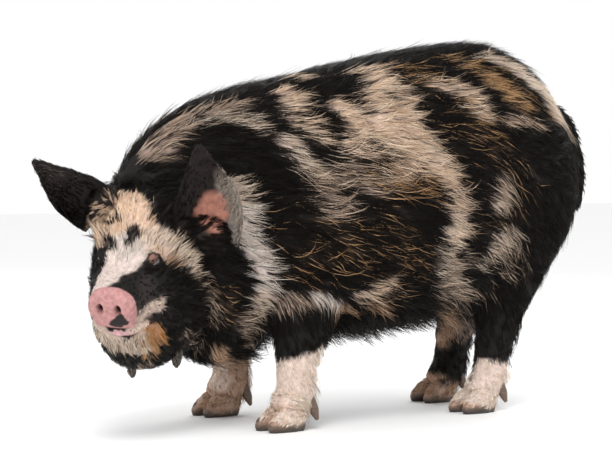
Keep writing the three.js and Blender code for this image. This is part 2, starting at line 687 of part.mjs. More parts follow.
const pig = new THREE.Group();
function add(name, shape, finish) {
  const mesh = shape.getMesh();
  const geometry = new THREE.BufferGeometry();
  const count = mesh.vertProperties.length / mesh.numProp;
  const position = new Float32Array(count * 3);
  for (let i = 0; i < count; i++)
    position.set(mesh.vertProperties.subarray(i * mesh.numProp, i * mesh.numProp + 3), i * 3);
  geometry.setAttribute("position", new THREE.BufferAttribute(position, 3));
  geometry.setIndex(new THREE.BufferAttribute(mesh.triVerts, 1));
  geometry.computeVertexNormals();
  const part = new THREE.Mesh(geometry, new THREE.MeshStandardMaterial(FINISH[finish]));
  part.name = name;
  pig.add(part);
}

const legForms = LEGS.map(legForm);
const eyes = [LEFT_SIDE, RIGHT_SIDE].map(eyeCentre);
const near = (points, reach) => (p) => points.some((q) => q.distanceTo(p) < reach);
const earRoots = EARS.map((e) => inHead(e.root[0], e.side * e.root[1], e.root[2]));
const nearEar = near(earRoots, KEEP_OFF.ear);
const nearEye = near(eyes, KEEP_OFF.eye);
const nearTassel = near(TASSELS.map((t) => inHead(...t.at)), KEEP_OFF.tassel);
const nearTail = near(TAIL.map((s) => new THREE.Vector3(...s.at)), KEEP_OFF.tail);

// The coat lies from the nose to the tail and down over the flanks and the rump.
const trunkLie = (p) => {
  const fall = THREE.MathUtils.smoothstep(p.x, ...RUMP_FALL);
  return new THREE.Vector3(1, 0.1 * Math.sign(p.y), -0.4 - 3 * fall);
};
const trunkLocks = coatOf(trunkForm, BODY_LOCKS, {
  from: -trunkForm.capShare.start * 0.5,
  to: ROOTS.trunk_to,
  lie: trunkLie,
  bound: NECK_CUT_X,
  lift: (p, out) => {
    if (out.z < FRINGE.facing) return p.x > FRINGE.from && p.x < FRINGE.to ? FRINGE.lift : 0;
    return out.z > CREST.facing && p.x < CREST.to ? CREST.lift : 0;
  },
  allowed: (root, tip) =>
    skullForm.level(root) > OUTSIDE.root &&
    legForms.every((leg) => leg.level(root) > OUTSIDE.surface && leg.level(tip) > OUTSIDE.tip) &&
    ![root, tip].some((p) => nearTail(p) || nearEar(p) || nearTassel(p)),
});
const wholeTrunk = trunk(0).add(trunkLocks(0));
const grownTrunk = trunk(GAP).add(trunkLocks(GAP));
const headLie = (p) => {
  const local = p.clone().applyMatrix4(headPose.clone().invert());
  return headDirection(-1, 0.3 * Math.sign(local.y), local.z > 0 ? 0.25 : -0.4);
};
const headLocks = coatOf(skullForm, HEAD_LOCKS, {
  from: ROOTS.head[0],
  to: ROOTS.head[1],
  lie: headLie,
  lift: () => 0,
  allowed: (root, tip) =>
    trunkForm.level(root) > OUTSIDE.surface &&
    trunkForm.level(tip) > OUTSIDE.surface &&
    ![root, tip].some((p) => nearEye(p) || nearEar(p) || nearTassel(p)),
});
const grownSkull = skull(GAP).add(headLocks(GAP));

const neck = wholeTrunk.trimByPlane([-1, 0, 0], -NECK_CUT_X + GAP / 2);
add("neck", largest(neck.subtract(grownSkull)), "black");
add("torso", largest(wholeTrunk.trimByPlane([1, 0, 0], NECK_CUT_X + GAP / 2)), "ginger");

let head = skull(0).add(headLocks(0)).add(mouthTube(LOWER_LIP));
for (const eye of eyes) head = head.add(ball(eye, EYE.radius + LID.thick, 13, 9));
head = facingBack(head, SNOUT.from - 0.5 - GAP).subtract(mouthTube(MOUTH));
for (const side of [LEFT_SIDE, RIGHT_SIDE]) {
  head = head.subtract(lidOpening(side)).subtract(ball(eyeCentre(side), EYE.radius + GAP));
}
add("head", largest(head), "black");
let disc = snoutDisc();
for (const side of [LEFT_SIDE, RIGHT_SIDE]) disc = disc.subtract(nostril(side));
add("snout", largest(disc), "pink");
add("eye_left", ball(eyes[0], EYE.radius), "eye");
add("eye_right", ball(eyes[1], EYE.radius), "eye");
for (const e of EARS)
  add(e.name, largest(ear(e).subtract(grownSkull).subtract(grownTrunk)), "black");

for (const tassel of TASSELS) {
  const top = inHead(...tassel.at);
  const stations = [0, 0.4, 0.75, 1].map((k) => {
    const radius = TASSEL_RADIUS * (1 - 0.5 * k * k);
    const at = top.clone().addScaledVector(UP, -k * tassel.length).toArray();
    return { at, half: radius, up: radius, down: radius };
  });
  const body = form(stations, { startCap: 4, endCap: 5 });
  const whole = loft(body, { rings: 4, sides: 8, capRings: 1 });
  add(tassel.name, largest(whole.subtract(grownSkull).subtract(grownTrunk)), "black");
}

const tail = loft(form(TAIL, { startCap: 5, endCap: 5 }), { rings: 8, sides: 8 });
add("tail", largest(tail.subtract(grownTrunk)), "black");

const legLie = () => new THREE.Vector3(0.4, 0, -1);
LEGS.forEach((leg, i) => {
  const body = legForms[i];
  const upperLocks = coatOf(body, LEG_LOCKS, {
    from: ROOTS.leg[0],
    to: ROOTS.leg[1],
    lie: legLie,
    lift: () => 0,
    allowed: (root, tip) =>
      trunkForm.level(root) > OUTSIDE.root &&
      trunkForm.level(tip) > OUTSIDE.surface &&
      tip.z > KNEE_CUT + KNEE_CLEAR,
  });
  const feathers = coatOf(body, FEATHER_LOCKS, {
    from: ROOTS.feather[0],
    to: ROOTS.feather[1],
    lie: legLie,
    lift: () => 0,
    allowed: (root, tip, out) =>
      leg.shape === FORE_LEG &&
      out.x > FEATHER.facing &&
      root.z < KNEE_CUT - FEATHER.below_knee &&
      tip.z > FEATHER.low,
  });
  const grown = limb(leg, GAP);
  const upper = limb(leg, 0)
    .trimByPlane([0, 0, 1], KNEE_CUT + GAP / 2)
    .add(upperLocks(0));
  const lower = limb(leg, 0)
    .trimByPlane([0, 0, -1], -KNEE_CUT + GAP / 2)
    .add(feathers(0));
  add("upper_leg_" + leg.name, largest(upper.subtract(grownTrunk)), "black");
  add("lower_leg_" + leg.name, largest(lower), "pale");
  for (const inner of [LEFT_SIDE, RIGHT_SIDE]) {
    const which = inner === leg.side ? "outer" : "inner";
    add(`claw_${which}_${leg.name}`, largest(claw(leg, inner).subtract(grown)), "horn");
    add(`dew_claw_${which}_${leg.name}`, largest(dewClaw(leg, inner).subtract(grown)), "horn");
  }
});

// The origin lies on the floor, under the middle of the animal's box.
const middle = new THREE.Box3().setFromObject(pig).getCenter(new THREE.Vector3());
pig.position.set(-middle.x, -middle.y, 0);

export default pig;
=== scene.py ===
# %% [markdown]
# # A life-size Kunekune pig
# The measured solids of the pig come in first, as a fixed frame in metres. Everything
# made below stands in the same frame, so that a piece goes where the solids say.

# %% Load the measured frame
import math

import bmesh
import bpy
import numpy as np
from mathutils import Matrix, Vector, noise
from mathutils.bvhtree import BVHTree


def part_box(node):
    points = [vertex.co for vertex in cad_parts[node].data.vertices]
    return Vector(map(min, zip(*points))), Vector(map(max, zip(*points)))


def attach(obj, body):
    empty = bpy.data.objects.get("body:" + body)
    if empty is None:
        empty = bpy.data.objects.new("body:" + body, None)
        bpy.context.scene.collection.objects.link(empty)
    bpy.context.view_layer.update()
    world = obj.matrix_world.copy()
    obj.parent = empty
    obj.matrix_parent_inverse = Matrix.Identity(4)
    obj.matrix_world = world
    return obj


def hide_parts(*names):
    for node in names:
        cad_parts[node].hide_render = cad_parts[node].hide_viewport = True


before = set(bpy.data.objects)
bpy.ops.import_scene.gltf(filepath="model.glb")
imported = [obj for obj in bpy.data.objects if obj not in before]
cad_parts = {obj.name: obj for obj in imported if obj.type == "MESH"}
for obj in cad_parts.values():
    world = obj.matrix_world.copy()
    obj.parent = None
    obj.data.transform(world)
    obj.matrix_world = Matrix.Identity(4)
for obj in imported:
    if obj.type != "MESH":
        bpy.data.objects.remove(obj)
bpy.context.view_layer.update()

# %% [markdown]
# ## The pig's measurements
# The body is a run of oval sections, each at a place on the spine, the skull or a leg. The
# sizes are in millimetres. The pig's nose points along -X and its left side is at -Y.

# %% Stations of the trunk, the skull and the legs
MM = 0.001
TRUNK = [
    # place, up, down, half width, taper, depth of coat
    ((462, 0, 481), 110, 136, 100, 0.1, 12),
    ((405, 0, 474), 193, 196, 158, 0.1, 14),
    ((310, 0, 463), 245, 244, 195, 0.08, 14),
    ((200, 0, 450), 253, 257, 209, 0.06, 14),
    ((60, 0, 430), 249, 254, 215, 0.05, 14),
    ((-80, 0, 415), 237, 252, 207, 0.08, 14),
    ((-200, 0, 408), 218, 242, 187, 0.12, 14),
    ((-300, -5, 393), 203, 246, 162, 0.15, 14),
    ((-385, -26, 362), 184, 256, 127, 0.1, 14),
    ((-450, -52, 330), 152, 238, 110, 0.1, 12),
]
SKULL = [
    ((-120, 0, -70), 126, 162, 106, 0.05, 10),
    ((-75, 0, -62), 151, 164, 111, 0.08, 10),
    ((-25, 0, -52), 151, 164, 103, 0.12, 10),
    ((20, 0, -46), 129, 158, 89, 0.14, 9),
    ((55, 0, -38), 88, 144, 76, 0.06, 6),
    ((88, 0, -32), 54, 117, 59, 0, 3),
    ((118, 0, -26), 41, 84, 48, -0.05, 0),
    ((147, 0, -21), 35, 54, 40, 0, 0),
]
FORE_LEG = [
    # rise, back, out, half width, front, rear, depth of coat
    (330, 55, -4, 62, 74, 84, 12),
    (262, 45, -2, 58, 68, 84, 12),
    (205, 36, 0, 48, 57, 74, 10),
    (150, 27, 0, 37, 43, 52, 4),
    (100, 24, 0, 30, 34, 35, 0),
    (66, 24, 0, 32, 34, 36, 0),
    (36, 6, 0, 32, 35, 34, 0),
]
HIND_LEG = [
    (440, 114, 4, 80, 115, 118, 12),
    (350, 96, 8, 80, 112, 100, 12),
    (265, 78, 4, 64, 88, 68, 12),
    (205, 64, 0, 48, 62, 52, 10),
    (150, 50, 0, 36, 44, 43, 4),
    (100, 38, 0, 30, 34, 33, 0),
    (66, 32, 0, 31, 34, 36, 0),
    (36, 10, 0, 31, 35, 34, 0),
]
LEGS = {
    # name: shape, hoof place, side (the pig's left is -1)
    "fore_left": (FORE_LEG, (-238, -116), -1),
    "fore_right": (FORE_LEG, (-210, 142), 1),
    "hind_left": (HIND_LEG, (220, -94), -1),
    "hind_right": (HIND_LEG, (272, 92), 1),
}
TAIL = [
    ((490, 0, 572), 22),
    ((530, 0, 545), 17),
    ((554, -4, 490), 12),
    ((562, -8, 440), 9),
    ((550, -10, 385), 6),
]

# %% [markdown]
# ## The head's own frame
# The head is turned, dropped and rolled, so its sizes are easier to say in a frame of its
# own: forward along the snout, to the right, and up. The eyes of the solids show where that
# frame lies among the metres of the model.

# %% The head's frame
HEAD_AT = Vector((-526, -104, 325))
HEAD_TURN, HEAD_DROP, HEAD_ROLL = (math.radians(d) for d in (38, 25, 5))
EYE_AT, EYE_RADIUS = (58, 43, 19), 12

head_forward = Vector((
    -math.cos(HEAD_DROP) * math.cos(HEAD_TURN),
    -math.cos(HEAD_DROP) * math.sin(HEAD_TURN),
    -math.sin(HEAD_DROP),
))
head_left = Vector((0, 0, 1)).cross(head_forward).normalized()
head_left.rotate(Matrix.Rotation(-HEAD_ROLL, 3, head_forward))
head_up = head_forward.cross(head_left)
HEAD_AXES = np.array([head_forward, -head_left, head_up])


def in_head(f, r, u):
    """The place of a point given as forward, right and up of the head."""
    return np.array(HEAD_AT) + np.array([f, r, u], float) @ HEAD_AXES


low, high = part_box("eye_left")
SHIFT = np.array((Vector(low) + Vector(high)) / 2) / MM - in_head(EYE_AT[0], -EYE_AT[1], EYE_AT[2])
print("the measurements are shifted by", SHIFT.round(2), "mm")


def to_metres(points):
    return (np.asarray(points, float) + SHIFT) * MM


def to_millimetres(points):
    return np.asarray(points, float) / MM - SHIFT


def to_head(points):
    """Forward, right and up of the head for points in millimetres."""
    return (np.asarray(points, float) - np.array(HEAD_AT)) @ HEAD_AXES.T


# %% [markdown]
# ## The camera and the studio
# A long lens far away keeps the pig's proportions true. The floor is pale and the light is
# soft: one large lamp above and to the left, a weaker one in front, and a bright room.

# %% Camera, floor and lamps
CAMERA_AT = (-2448, -3340, 500)
CAMERA_TURN, CAMERA_DROP = math.radians(-35), math.radians(1.953)
SENSOR = 36
VIEW_WIDE, VIEW_TALL, VIEW_LENGTH = 612, 450, 2200

camera_data = bpy.data.cameras.new("camera")
camera_data.sensor_width = SENSOR
camera_data.lens = VIEW_LENGTH / VIEW_WIDE * SENSOR
camera_data.clip_end = 50
camera = bpy.data.objects.new("camera", camera_data)
camera.location = to_metres(CAMERA_AT)
camera.rotation_euler = (math.pi / 2 - CAMERA_DROP, 0, CAMERA_TURN)
bpy.context.scene.collection.objects.link(camera)
bpy.context.scene.camera = camera


def soft_lamp(name, at, aim, size, watts, tint=(1, 1, 1)):
    data = bpy.data.lights.new(name, "AREA")
    data.shape = "DISK"
    data.size = size
    data.energy = watts
    data.color = tint
    lamp = bpy.data.objects.new(name, data)
    lamp.location = at
    lamp.rotation_euler = (Vector(aim) - Vector(at)).to_track_quat("-Z", "Y").to_euler()
    bpy.context.scene.collection.objects.link(lamp)


soft_lamp("key", (-1.6, -2.2, 3.4), (0, 0, 0.35), 2.2, 106)
soft_lamp("fill", (-3.4, -1.6, 1.0), (0, 0, 0.35), 2.4, 30)
soft_lamp("rim", (2.4, 1.6, 2.6), (0, 0, 0.4), 1.8, 46)

world = bpy.data.worlds.new("studio")
world.use_nodes = True
world.node_tree.nodes["Background"].inputs["Color"].default_value = (1, 1, 1, 1)
world.node_tree.nodes["Background"].inputs["Strength"].default_value = 1.0
bpy.context.scene.world = world
bpy.context.scene.view_settings.view_transform = "Standard"


def new_object(name, bm, material=None):
    """Turns a bmesh into an object at the origin."""
    mesh = bpy.data.meshes.new(name)
    bm.to_mesh(mesh)
    bm.free()
    made = bpy.data.objects.new(name, mesh)
    bpy.context.scene.collection.objects.link(made)
    if material:
        mesh.materials.append(material)
    return made


def plain_material(name, colour, roughness):
    made = bpy.data.materials.new(name)
    made.use_nodes = True
    shader = made.node_tree.nodes["Principled BSDF"]
    shader.inputs["Base Color"].default_value = (*colour, 1)
    shader.inputs["Roughness"].default_value = roughness
    return made


bm = bmesh.new()
bmesh.ops.create_grid(bm, x_segments=2, y_segments=2, size=12)
floor = new_object("floor", bm, plain_material("floor_paint", (0.92, 0.92, 0.92), 0.8))

# %% [markdown]
# ## Smooth forms from stations
# A trunk or a limb could be sculpted by hand, but a run of oval sections keeps it true to
# its measurements. A smooth curve joins the stations, and one function gives the place on
# the surface for a way along and an angle round. The skin and the hair both use it.

# %% Places on a form
FULLNESS = 2.25


def smooth_run(rows, t):
    """Values between evenly spaced rows, joined by a smooth curve; t runs from 0 to 1."""
    before, after = 2 * rows[0] - rows[1], 2 * rows[-1] - rows[-2]
    padded = np.vstack([before, rows, after])
    s = np.clip(t, 0, 1) * (len(rows) - 1)
    i = np.minimum(s.astype(int), len(rows) - 2)
    u = (s - i)[:, None]
    a, b, c, d = padded[i], padded[i + 1], padded[i + 2], padded[i + 3]
    cubic = (3 * b - a - 3 * c + d) * u**3
    return 0.5 * (2 * b + (c - a) * u + (2 * a - 5 * b + 4 * c - d) * u**2 + cubic)


def make_form(at, sizes, taper, coat, right, start_cap, end_cap):
    at = np.array(at, float)
    fine = smooth_run(at, np.linspace(0, 1, 201))
    length = np.linalg.norm(np.diff(fine, axis=0), axis=1).sum()
    return {
        "at": at,
        "sizes": np.array(sizes, float),
        "extras": np.array([taper, coat], float).T,
        "right": np.array(right, float),
        "caps": (start_cap, end_cap),
        "shares": (start_cap / length, end_cap / length),
    }


def unit(v):
    return v / np.maximum(np.linalg.norm(v, axis=-1, keepdims=True), 1e-9)


def fuller(x):
    return np.sign(x) * np.abs(x) ** (2 / FULLNESS)


def coat_depth(form, along):
    return smooth_run(form["extras"], along)[:, 1]


def on_form(form, along, angle, out=0.0):
    """Places on a form, moved outwards by some way, for arrays of along and angle."""
    t = np.clip(along, 0, 1)
    past = along - t
    share = np.where(past < 0, form["shares"][0], form["shares"][1])
    cap = np.where(past < 0, -(form["caps"][0] + out), form["caps"][1] + out)
    turn = np.pi / 2 * np.minimum(1, np.abs(past) / share)
    step = 1e-4
    ahead = smooth_run(form["at"], np.minimum(t + step, 1))
    forward = unit(ahead - smooth_run(form["at"], np.maximum(t - step, 0)))
    along_right = (forward @ form["right"])[:, None]
    across = unit(form["right"] - along_right * forward)
    up = np.cross(across, forward)
    centre = smooth_run(form["at"], t) + forward * (cap * np.sin(turn))[:, None]
    half, top, bottom = smooth_run(form["sizes"], t).T
    taper = smooth_run(form["extras"], t)[:, 0]
    c, s = fuller(np.cos(angle)), fuller(np.sin(angle))
    wide = (half * (1 - taper * s) + out) * c * np.cos(turn)
    tall = (np.where(s > 0, top, bottom) + out) * s * np.cos(turn)
    return centre + across * wide[:, None] + up * tall[:, None]


def body_form(rows, place, right, caps):
    at = [place(*row[0]) for row in rows]
    sizes = [(row[3], row[1], row[2]) for row in rows]
    taper, coat = [row[4] for row in rows], [row[5] for row in rows]
    return make_form(at, sizes, taper, coat, right, *caps)


def leg_form(shape, hoof, side):
    at = [(hoof[0] + back, hoof[1] + side * out, rise) for rise, back, out, *_ in shape]
    sizes = [(half, front, rear) for _, _, _, half, front, rear, _ in shape]
    coat = [row[6] for row in shape]
    return make_form(at, sizes, [0] * len(shape), coat, (0, 1, 0), 30, 14)


trunk_form = body_form(TRUNK, lambda *p: p, (0, 1, 0), (50, 30))
skull_form = body_form(SKULL, in_head, HEAD_AXES[1], (20, 4))
leg_forms = {name: leg_form(*leg) for name, leg in LEGS.items()}
radii = [[r, r, r] for _, r in TAIL]
still = [0] * len(TAIL)
tail_form = make_form([p for p, _ in TAIL], radii, still, still, (0, 1, 0), 5, 5)
print("forms:", 3 + len(leg_forms))

# %% [markdown]
# ## Rolling a sheet round a form
# A flat grid is rolled round the form: one way of the grid runs along it and the other goes
# round. Where the sides of the sheet meet, and at the round ends, the doubled points are
# merged, which leaves one closed surface.

# %% Rolled shapes
CORE_SHARE = 0.5


def rolled(bm, form, rings, sides, out=None, first=None, last=None):
    """Adds a closed surface to a bmesh, round a form from the first way along to the last."""
    sheet = bmesh.new()
    bmesh.ops.create_grid(sheet, x_segments=rings, y_segments=sides, size=1)
    spots = np.array([v.co for v in sheet.verts])
    start = -form["shares"][0] if first is None else first
    end = 1 + form["shares"][1] if last is None else last
    along = start + (end - start) * (spots[:, 0] + 1) / 2
    inward = -CORE_SHARE * coat_depth(form, along) if out is None else out(along)
    places = on_form(form, along, np.pi * (spots[:, 1] + 1), inward)
    for vert, place in zip(sheet.verts, places):
        vert.co = place * MM
    bmesh.ops.remove_doubles(sheet, verts=sheet.verts[:], dist=1e-5)
    rims = [e for e in sheet.edges if e.is_boundary]
    bmesh.ops.holes_fill(sheet, edges=rims, sides=0)
    bmesh.ops.recalc_face_normals(sheet, faces=sheet.faces[:])
    add_bmesh(bm, sheet)


def add_bmesh(bm, other):
    """Joins another bmesh into bm."""
    passing = bpy.data.meshes.new("passing")
    other.to_mesh(passing)
    other.free()
    bm.from_mesh(passing)
    bpy.data.meshes.remove(passing)


def add_ball(bm, centre, radii, axes=None, wide=32, high=20):
    """Adds an oval ball; axes are its three directions as rows."""
    ball = bmesh.new()
    bmesh.ops.create_uvsphere(ball, u_segments=wide, v_segments=high, radius=1)
    turn = np.eye(3) if axes is None else np.array(axes)
    for vert in ball.verts:
        vert.co = (centre + (np.array(vert.co) * radii) @ turn) * MM
    bmesh.ops.recalc_face_normals(ball, faces=ball.faces[:])
    add_bmesh(bm, ball)


def welded(bm, name, voxel, passes):
    """Melts overlapping closed shapes into one skin and smooths it."""
    shape = new_object(name, bm)
    melt = shape.modifiers.new("melt", "REMESH")
    melt.mode = "VOXEL"
    melt.voxel_size = voxel * MM
    seen = shape.evaluated_get(bpy.context.evaluated_depsgraph_get())
    result = bmesh.new()
    result.from_mesh(seen.to_mesh())
    seen.to_mesh_clear()
    bpy.data.objects.remove(shape)
    for _ in range(passes):
        bmesh.ops.smooth_vert(
            result, verts=result.verts[:], factor=0.5,
            use_axis_x=True, use_axis_y=True, use_axis_z=True,
        )
    print(name, "has", len(result.faces), "faces")
    return result


# %% [markdown]
# ## The body's skin
# The trunk and the four legs overlap, so melting them together gives soft creases where a
# leg meets the flank. The head needs a finer mesh than the body, so it is melted apart with
# the front of the neck, and the two dip into each other well under the coat.

# %% The body
NECK_FROM, BODY_TO = 0.74, 0.86
BODY_VOXEL, HEAD_VOXEL = 7.8, 4.6


def dips(edge, way, reach=0.05, depth=3):
    """The skin's depth under the coat, deeper towards the end that goes under."""
    def inward(along):
        near = np.clip(1 - way * (along - edge) / reach, 0, 1)
        return -CORE_SHARE * coat_depth(trunk_form, along) - depth * near
    return inward


body_bm = bmesh.new()
rolled(body_bm, trunk_form, 90, 96, out=dips(BODY_TO, -1), last=BODY_TO)
for name in LEGS:
    rolled(body_bm, leg_forms[name], 60, 40)
body_bm = welded(body_bm, "body", BODY_VOXEL, 3)

# %% [markdown]
# ## The head's skin
# The skull, the front of the neck, the bulbs under the ears, the lids, the lower lip and the
# snout's disc melt into one skin with a finer grain, so that the lids and nostrils can be
# shaped in it.

# %% The head
EARS = {
    # name: side, root, length, lean, face of the cup
    "ear_left": (-1, (-40, 116, 14), 182, (-0.05, -0.12, 1), (0.7, 0.55, 0)),
    "ear_right": (1, (-34, 92, 46), 146, (0.1, 0.6, 0.8), (0.95, 0.1, -0.3)),
}
EAR_SHAPE = [
    # way along, width, angle of the cup
    (-0.12, 92, 170),
    (0.12, 118, 150),
    (0.38, 118, 118),
    (0.62, 84, 94),
    (0.82, 44, 80),
    (0.95, 20, 70),
    (1, 10, 60),
]
SNOUT = {"from": 146, "to": 167, "bulge": 4, "centre": -22, "half": 41, "tall": 34}
MOUTH_LINE = [(78, 65, -56), (108, 53, -58), (134, 42, -60), (148, 27, -63), (151, 0, -64)]
LID_THICK = 3.2


def head_direction(f, r, u):
    return unit(np.array([f, r, u], float) @ HEAD_AXES)


def ear_axes(name):
    side, _, _, lean, face = EARS[name]
    axis = head_direction(lean[0], side * lean[1], lean[2])
    hollow = head_direction(face[0], side * face[1], face[2])
    hollow = unit(hollow - axis * (hollow @ axis))
    return axis, hollow, np.cross(axis, hollow)


def mouth_tube(out, shift, tall, deep):
    """A form along the line of the mouth from corner to corner."""
    line = [(f, -r, u) for f, r, u in MOUTH_LINE] + MOUTH_LINE[-2::-1]
    at = []
    for f, r, u in line:
        away = unit(np.array([0.5 * (f - MOUTH_LINE[0][0]), r, 0]))
        at.append(in_head(f + out * away[0], r + out * away[1], u + shift))
    small = [0.45 if i in (0, len(line) - 1) else 1 for i in range(len(line))]
    sizes = [(tall * k, deep * k, deep * k) for k in small]
    flat = [0] * len(line)
    return make_form(at, sizes, flat, flat, head_direction(0, 0, 1), 2, 2)


def snout_form():
    rim = SNOUT["to"] - SNOUT["from"] - SNOUT["bulge"]
    rows = [(SNOUT["from"], 3), (SNOUT["from"] + rim / 2, 0), (SNOUT["from"] + rim, 2.5)]
    at = [in_head(f, 0, SNOUT["centre"]) for f, _ in rows]
    sizes = [[SNOUT["half"] - inset] + [SNOUT["tall"] - inset] * 2 for _, inset in rows]
    return make_form(at, sizes, [0] * 3, [0] * 3, HEAD_AXES[1], 0.5, SNOUT["bulge"])


head_bm = bmesh.new()
rolled(head_bm, skull_form, 70, 80)
rolled(head_bm, trunk_form, 30, 80, out=dips(NECK_FROM, 1), first=NECK_FROM)
rolled(head_bm, snout_form(), 20, 48)
rolled(head_bm, mouth_tube(-1, -8, 3.5, 4), 40, 12)
for side in (-1, 1):
    eye = in_head(EYE_AT[0], side * EYE_AT[1], EYE_AT[2])
    add_ball(head_bm, eye, [EYE_RADIUS + LID_THICK] * 3)
for name, (side, root, *_) in EARS.items():
    axis, hollow, across = ear_axes(name)
    middle = in_head(root[0], side * root[1], root[2]) - 40 * hollow - 12 * axis
    add_ball(head_bm, middle, (50, 40, 28), (across, axis, hollow))
head_bm = welded(head_bm, "head_skin", HEAD_VOXEL, 2)

# %% [markdown]
# ## Face
# The eyes, nostrils and mouth are pressed into the skin as a sculptor would press them: the
# skin is first divided finer there, and then its points are moved by smooth rules.

# %% Finer skin on the face
NOSTRIL = {"across": 15.5, "up": -20, "half": 5.2, "tall": 8.5, "deep": 15}
LID_OPEN_LONG, LID_OPEN_TALL, LID_SLANT = 10.5, 5.5, 0.25


def divide_where(bm, wanted):
    """Divides the edges of the faces whose middle, in the head's frame, is wanted."""
    bm.verts.ensure_lookup_table()
    local = to_head(np.array([v.co for v in bm.verts]) / MM)
    keep = wanted(local)
    edges = [e for e in bm.edges if keep[e.verts[0].index] and keep[e.verts[1].index]]
    bmesh.ops.subdivide_edges(bm, edges=edges, cuts=1, use_grid_fill=True)
    bmesh.ops.triangulate(bm, faces=[f for f in bm.faces if len(f.verts) > 4])
    return len(edges)


def near_points(points, reach):
    def wanted(local):
        gaps = [np.linalg.norm(local - np.array(p), axis=1) for p in points]
        return np.min(gaps, axis=0) < reach
    return wanted


eyes = [(EYE_AT[0], side * EYE_AT[1], EYE_AT[2]) for side in (-1, 1)]
print("divided", divide_where(head_bm, lambda p: p[:, 0] > 84), "edges of the muzzle")
print("divided", divide_where(head_bm, near_points(eyes, 34)), "edges by the eyes")
print("divided", divide_where(head_bm, near_points(eyes, 22)), "edges of the lids")

# %% Lids, nostrils and mouth
def press_face(bm):
    verts = bm.verts[:]
    local = to_head(np.array([v.co for v in verts]) / MM)
    # nostrils
    for side in (-1, 1):
        x = (local[:, 1] - side * NOSTRIL["across"]) / NOSTRIL["half"]
        y = (local[:, 2] - NOSTRIL["up"]) / NOSTRIL["tall"]
        r = np.hypot(x, y)
        front = local[:, 0] > SNOUT["from"] + 6
        dip = np.clip(1.15 - r, 0, 1) ** 0.6 * NOSTRIL["deep"]
        rim = 1.6 * np.exp(-(((r - 1.45) / 0.3) ** 2))
        local[:, 0] += np.where(front, rim - dip, 0)
    # the line of the mouth
    tube = mouth_tube(0, 0, 1, 1)
    line = to_head(smooth_run(tube["at"], np.linspace(0, 1, 80)))
    gap = np.full(len(local), np.inf)
    for point in line:
        gap = np.minimum(gap, np.linalg.norm(local - point, axis=1))
    inward = -np.stack([0.4 * np.ones(len(local)), local[:, 1] / 60, 0 * local[:, 2]], 1)
    middle = np.clip(1.6 - np.abs(local[:, 1] + 8) / 11, 0, 1) * (local[:, 0] > 130)
    local += unit(inward) * ((1.5 + 8 * middle) * np.clip(1 - gap / (3 + 2 * middle), 0, 1) ** 0.7)[:, None]
    # lids round the eyes
    for side in (-1, 1):
        centre = np.array([EYE_AT[0], side * EYE_AT[1], EYE_AT[2]])
        outward = unit(np.array([0.5, side, 0.1]))
        long = np.array([1, 0, -LID_SLANT])
        long = unit(long - outward * (long @ outward))
        tall = np.cross(long, outward)
        away = local - centre
        reach = np.linalg.norm(away, axis=1)
        x, y, z = away @ long, away @ tall, away @ outward
        r = np.hypot(x / LID_OPEN_LONG, y / LID_OPEN_TALL)
        facing = (z > 0) & (reach < 30)
        shell = EYE_RADIUS + np.where(r < 1, -3.5, LID_THICK * np.exp(-(((r - 1.25) / 0.9) ** 2)))
        pull = np.where(r < 1, 1.0, np.clip(1 - (r - 1) / 2.2, 0, 1))
        wanted = centre + unit(away) * shell[:, None]
        fold = 1.2 * np.sin(r * 5.5) * np.clip(1 - abs(r - 2.2) / 1.2, 0, 1)
        wanted += unit(away) * fold[:, None]
        share = np.where(facing, pull, 0)[:, None]
        local = local * (1 - share) + wanted * share
    places = (np.array(HEAD_AT) + local @ HEAD_AXES) * MM
    for vert, place in zip(verts, places):
        vert.co = place


press_face(head_bm)

# %% [markdown]
# ## Ears
# An ear is a thin sheet, rolled at its base and opening towards the tip. A flat grid takes
# that shape point by point, and solidify gives it the thickness of real skin and gristle.

# %% Ear sheets
EAR_WALL, EAR_CURL = 4.0, 18


def on_ear(name, along, across_share):
    """Places on an ear's middle surface; across_share runs from -1 to 1 over the cup."""
    side, root, length, _, _ = EARS[name]
    axis, hollow, across = ear_axes(name)
    s, width, cup = smooth_run(np.array(EAR_SHAPE, float), along).T
    half = np.radians(cup) / 2
    radius = width / 2 / np.sin(np.minimum(half, np.pi / 2))
    base = in_head(root[0], side * root[1], root[2])
    centre = base + np.outer(s * length, axis) + np.outer(EAR_CURL * s**2, hollow)
    angle = half * across_share
    sideways = np.outer(radius * np.sin(angle), across)
    return centre + sideways + np.outer(radius * (np.cos(half) - np.cos(angle)), hollow)


def ear_sheet(name):
    sheet = bmesh.new()
    bmesh.ops.create_grid(sheet, x_segments=44, y_segments=34, size=1)
    spots = np.array([v.co for v in sheet.verts])
    places = on_ear(name, (spots[:, 0] + 1) / 2, spots[:, 1])
    for vert, place in zip(sheet.verts, places):
        wave = noise.noise(Vector(place) * 0.05) * 2.0
        vert.co = (place + wave) * MM
    bmesh.ops.solidify(sheet, geom=sheet.faces[:], thickness=EAR_WALL * MM)
    bmesh.ops.recalc_face_normals(sheet, faces=sheet.faces[:])
    return sheet


skin_bm = bmesh.new()
part_ends = {}
add_bmesh(skin_bm, body_bm)
part_ends["body"] = len(skin_bm.verts)
add_bmesh(skin_bm, head_bm)
part_ends["head"] = len(skin_bm.verts)
for name in EARS:
    add_bmesh(skin_bm, ear_sheet(name))
    part_ends[name] = len(skin_bm.verts)
rolled(skin_bm, tail_form, 50, 24)
part_ends["tail"] = len(skin_bm.verts)

# %% Tassels under the jaw
TASSELS = {"tassel_left": ((30, -62, -160), 30), "tassel_right": ((30, 20, -172), 46)}


def tassel_form(name):
    place, length = TASSELS[name]
    ways = (0, 0.4, 0.75, 1)
    at = [in_head(*place) - np.array([0, 0, k * length]) for k in ways]
    sizes = [[9 * (1 - 0.5 * k * k)] * 3 for k in ways]
    return make_form(at, sizes, [0] * 4, [0] * 4, (0, 1, 0), 4, 5)


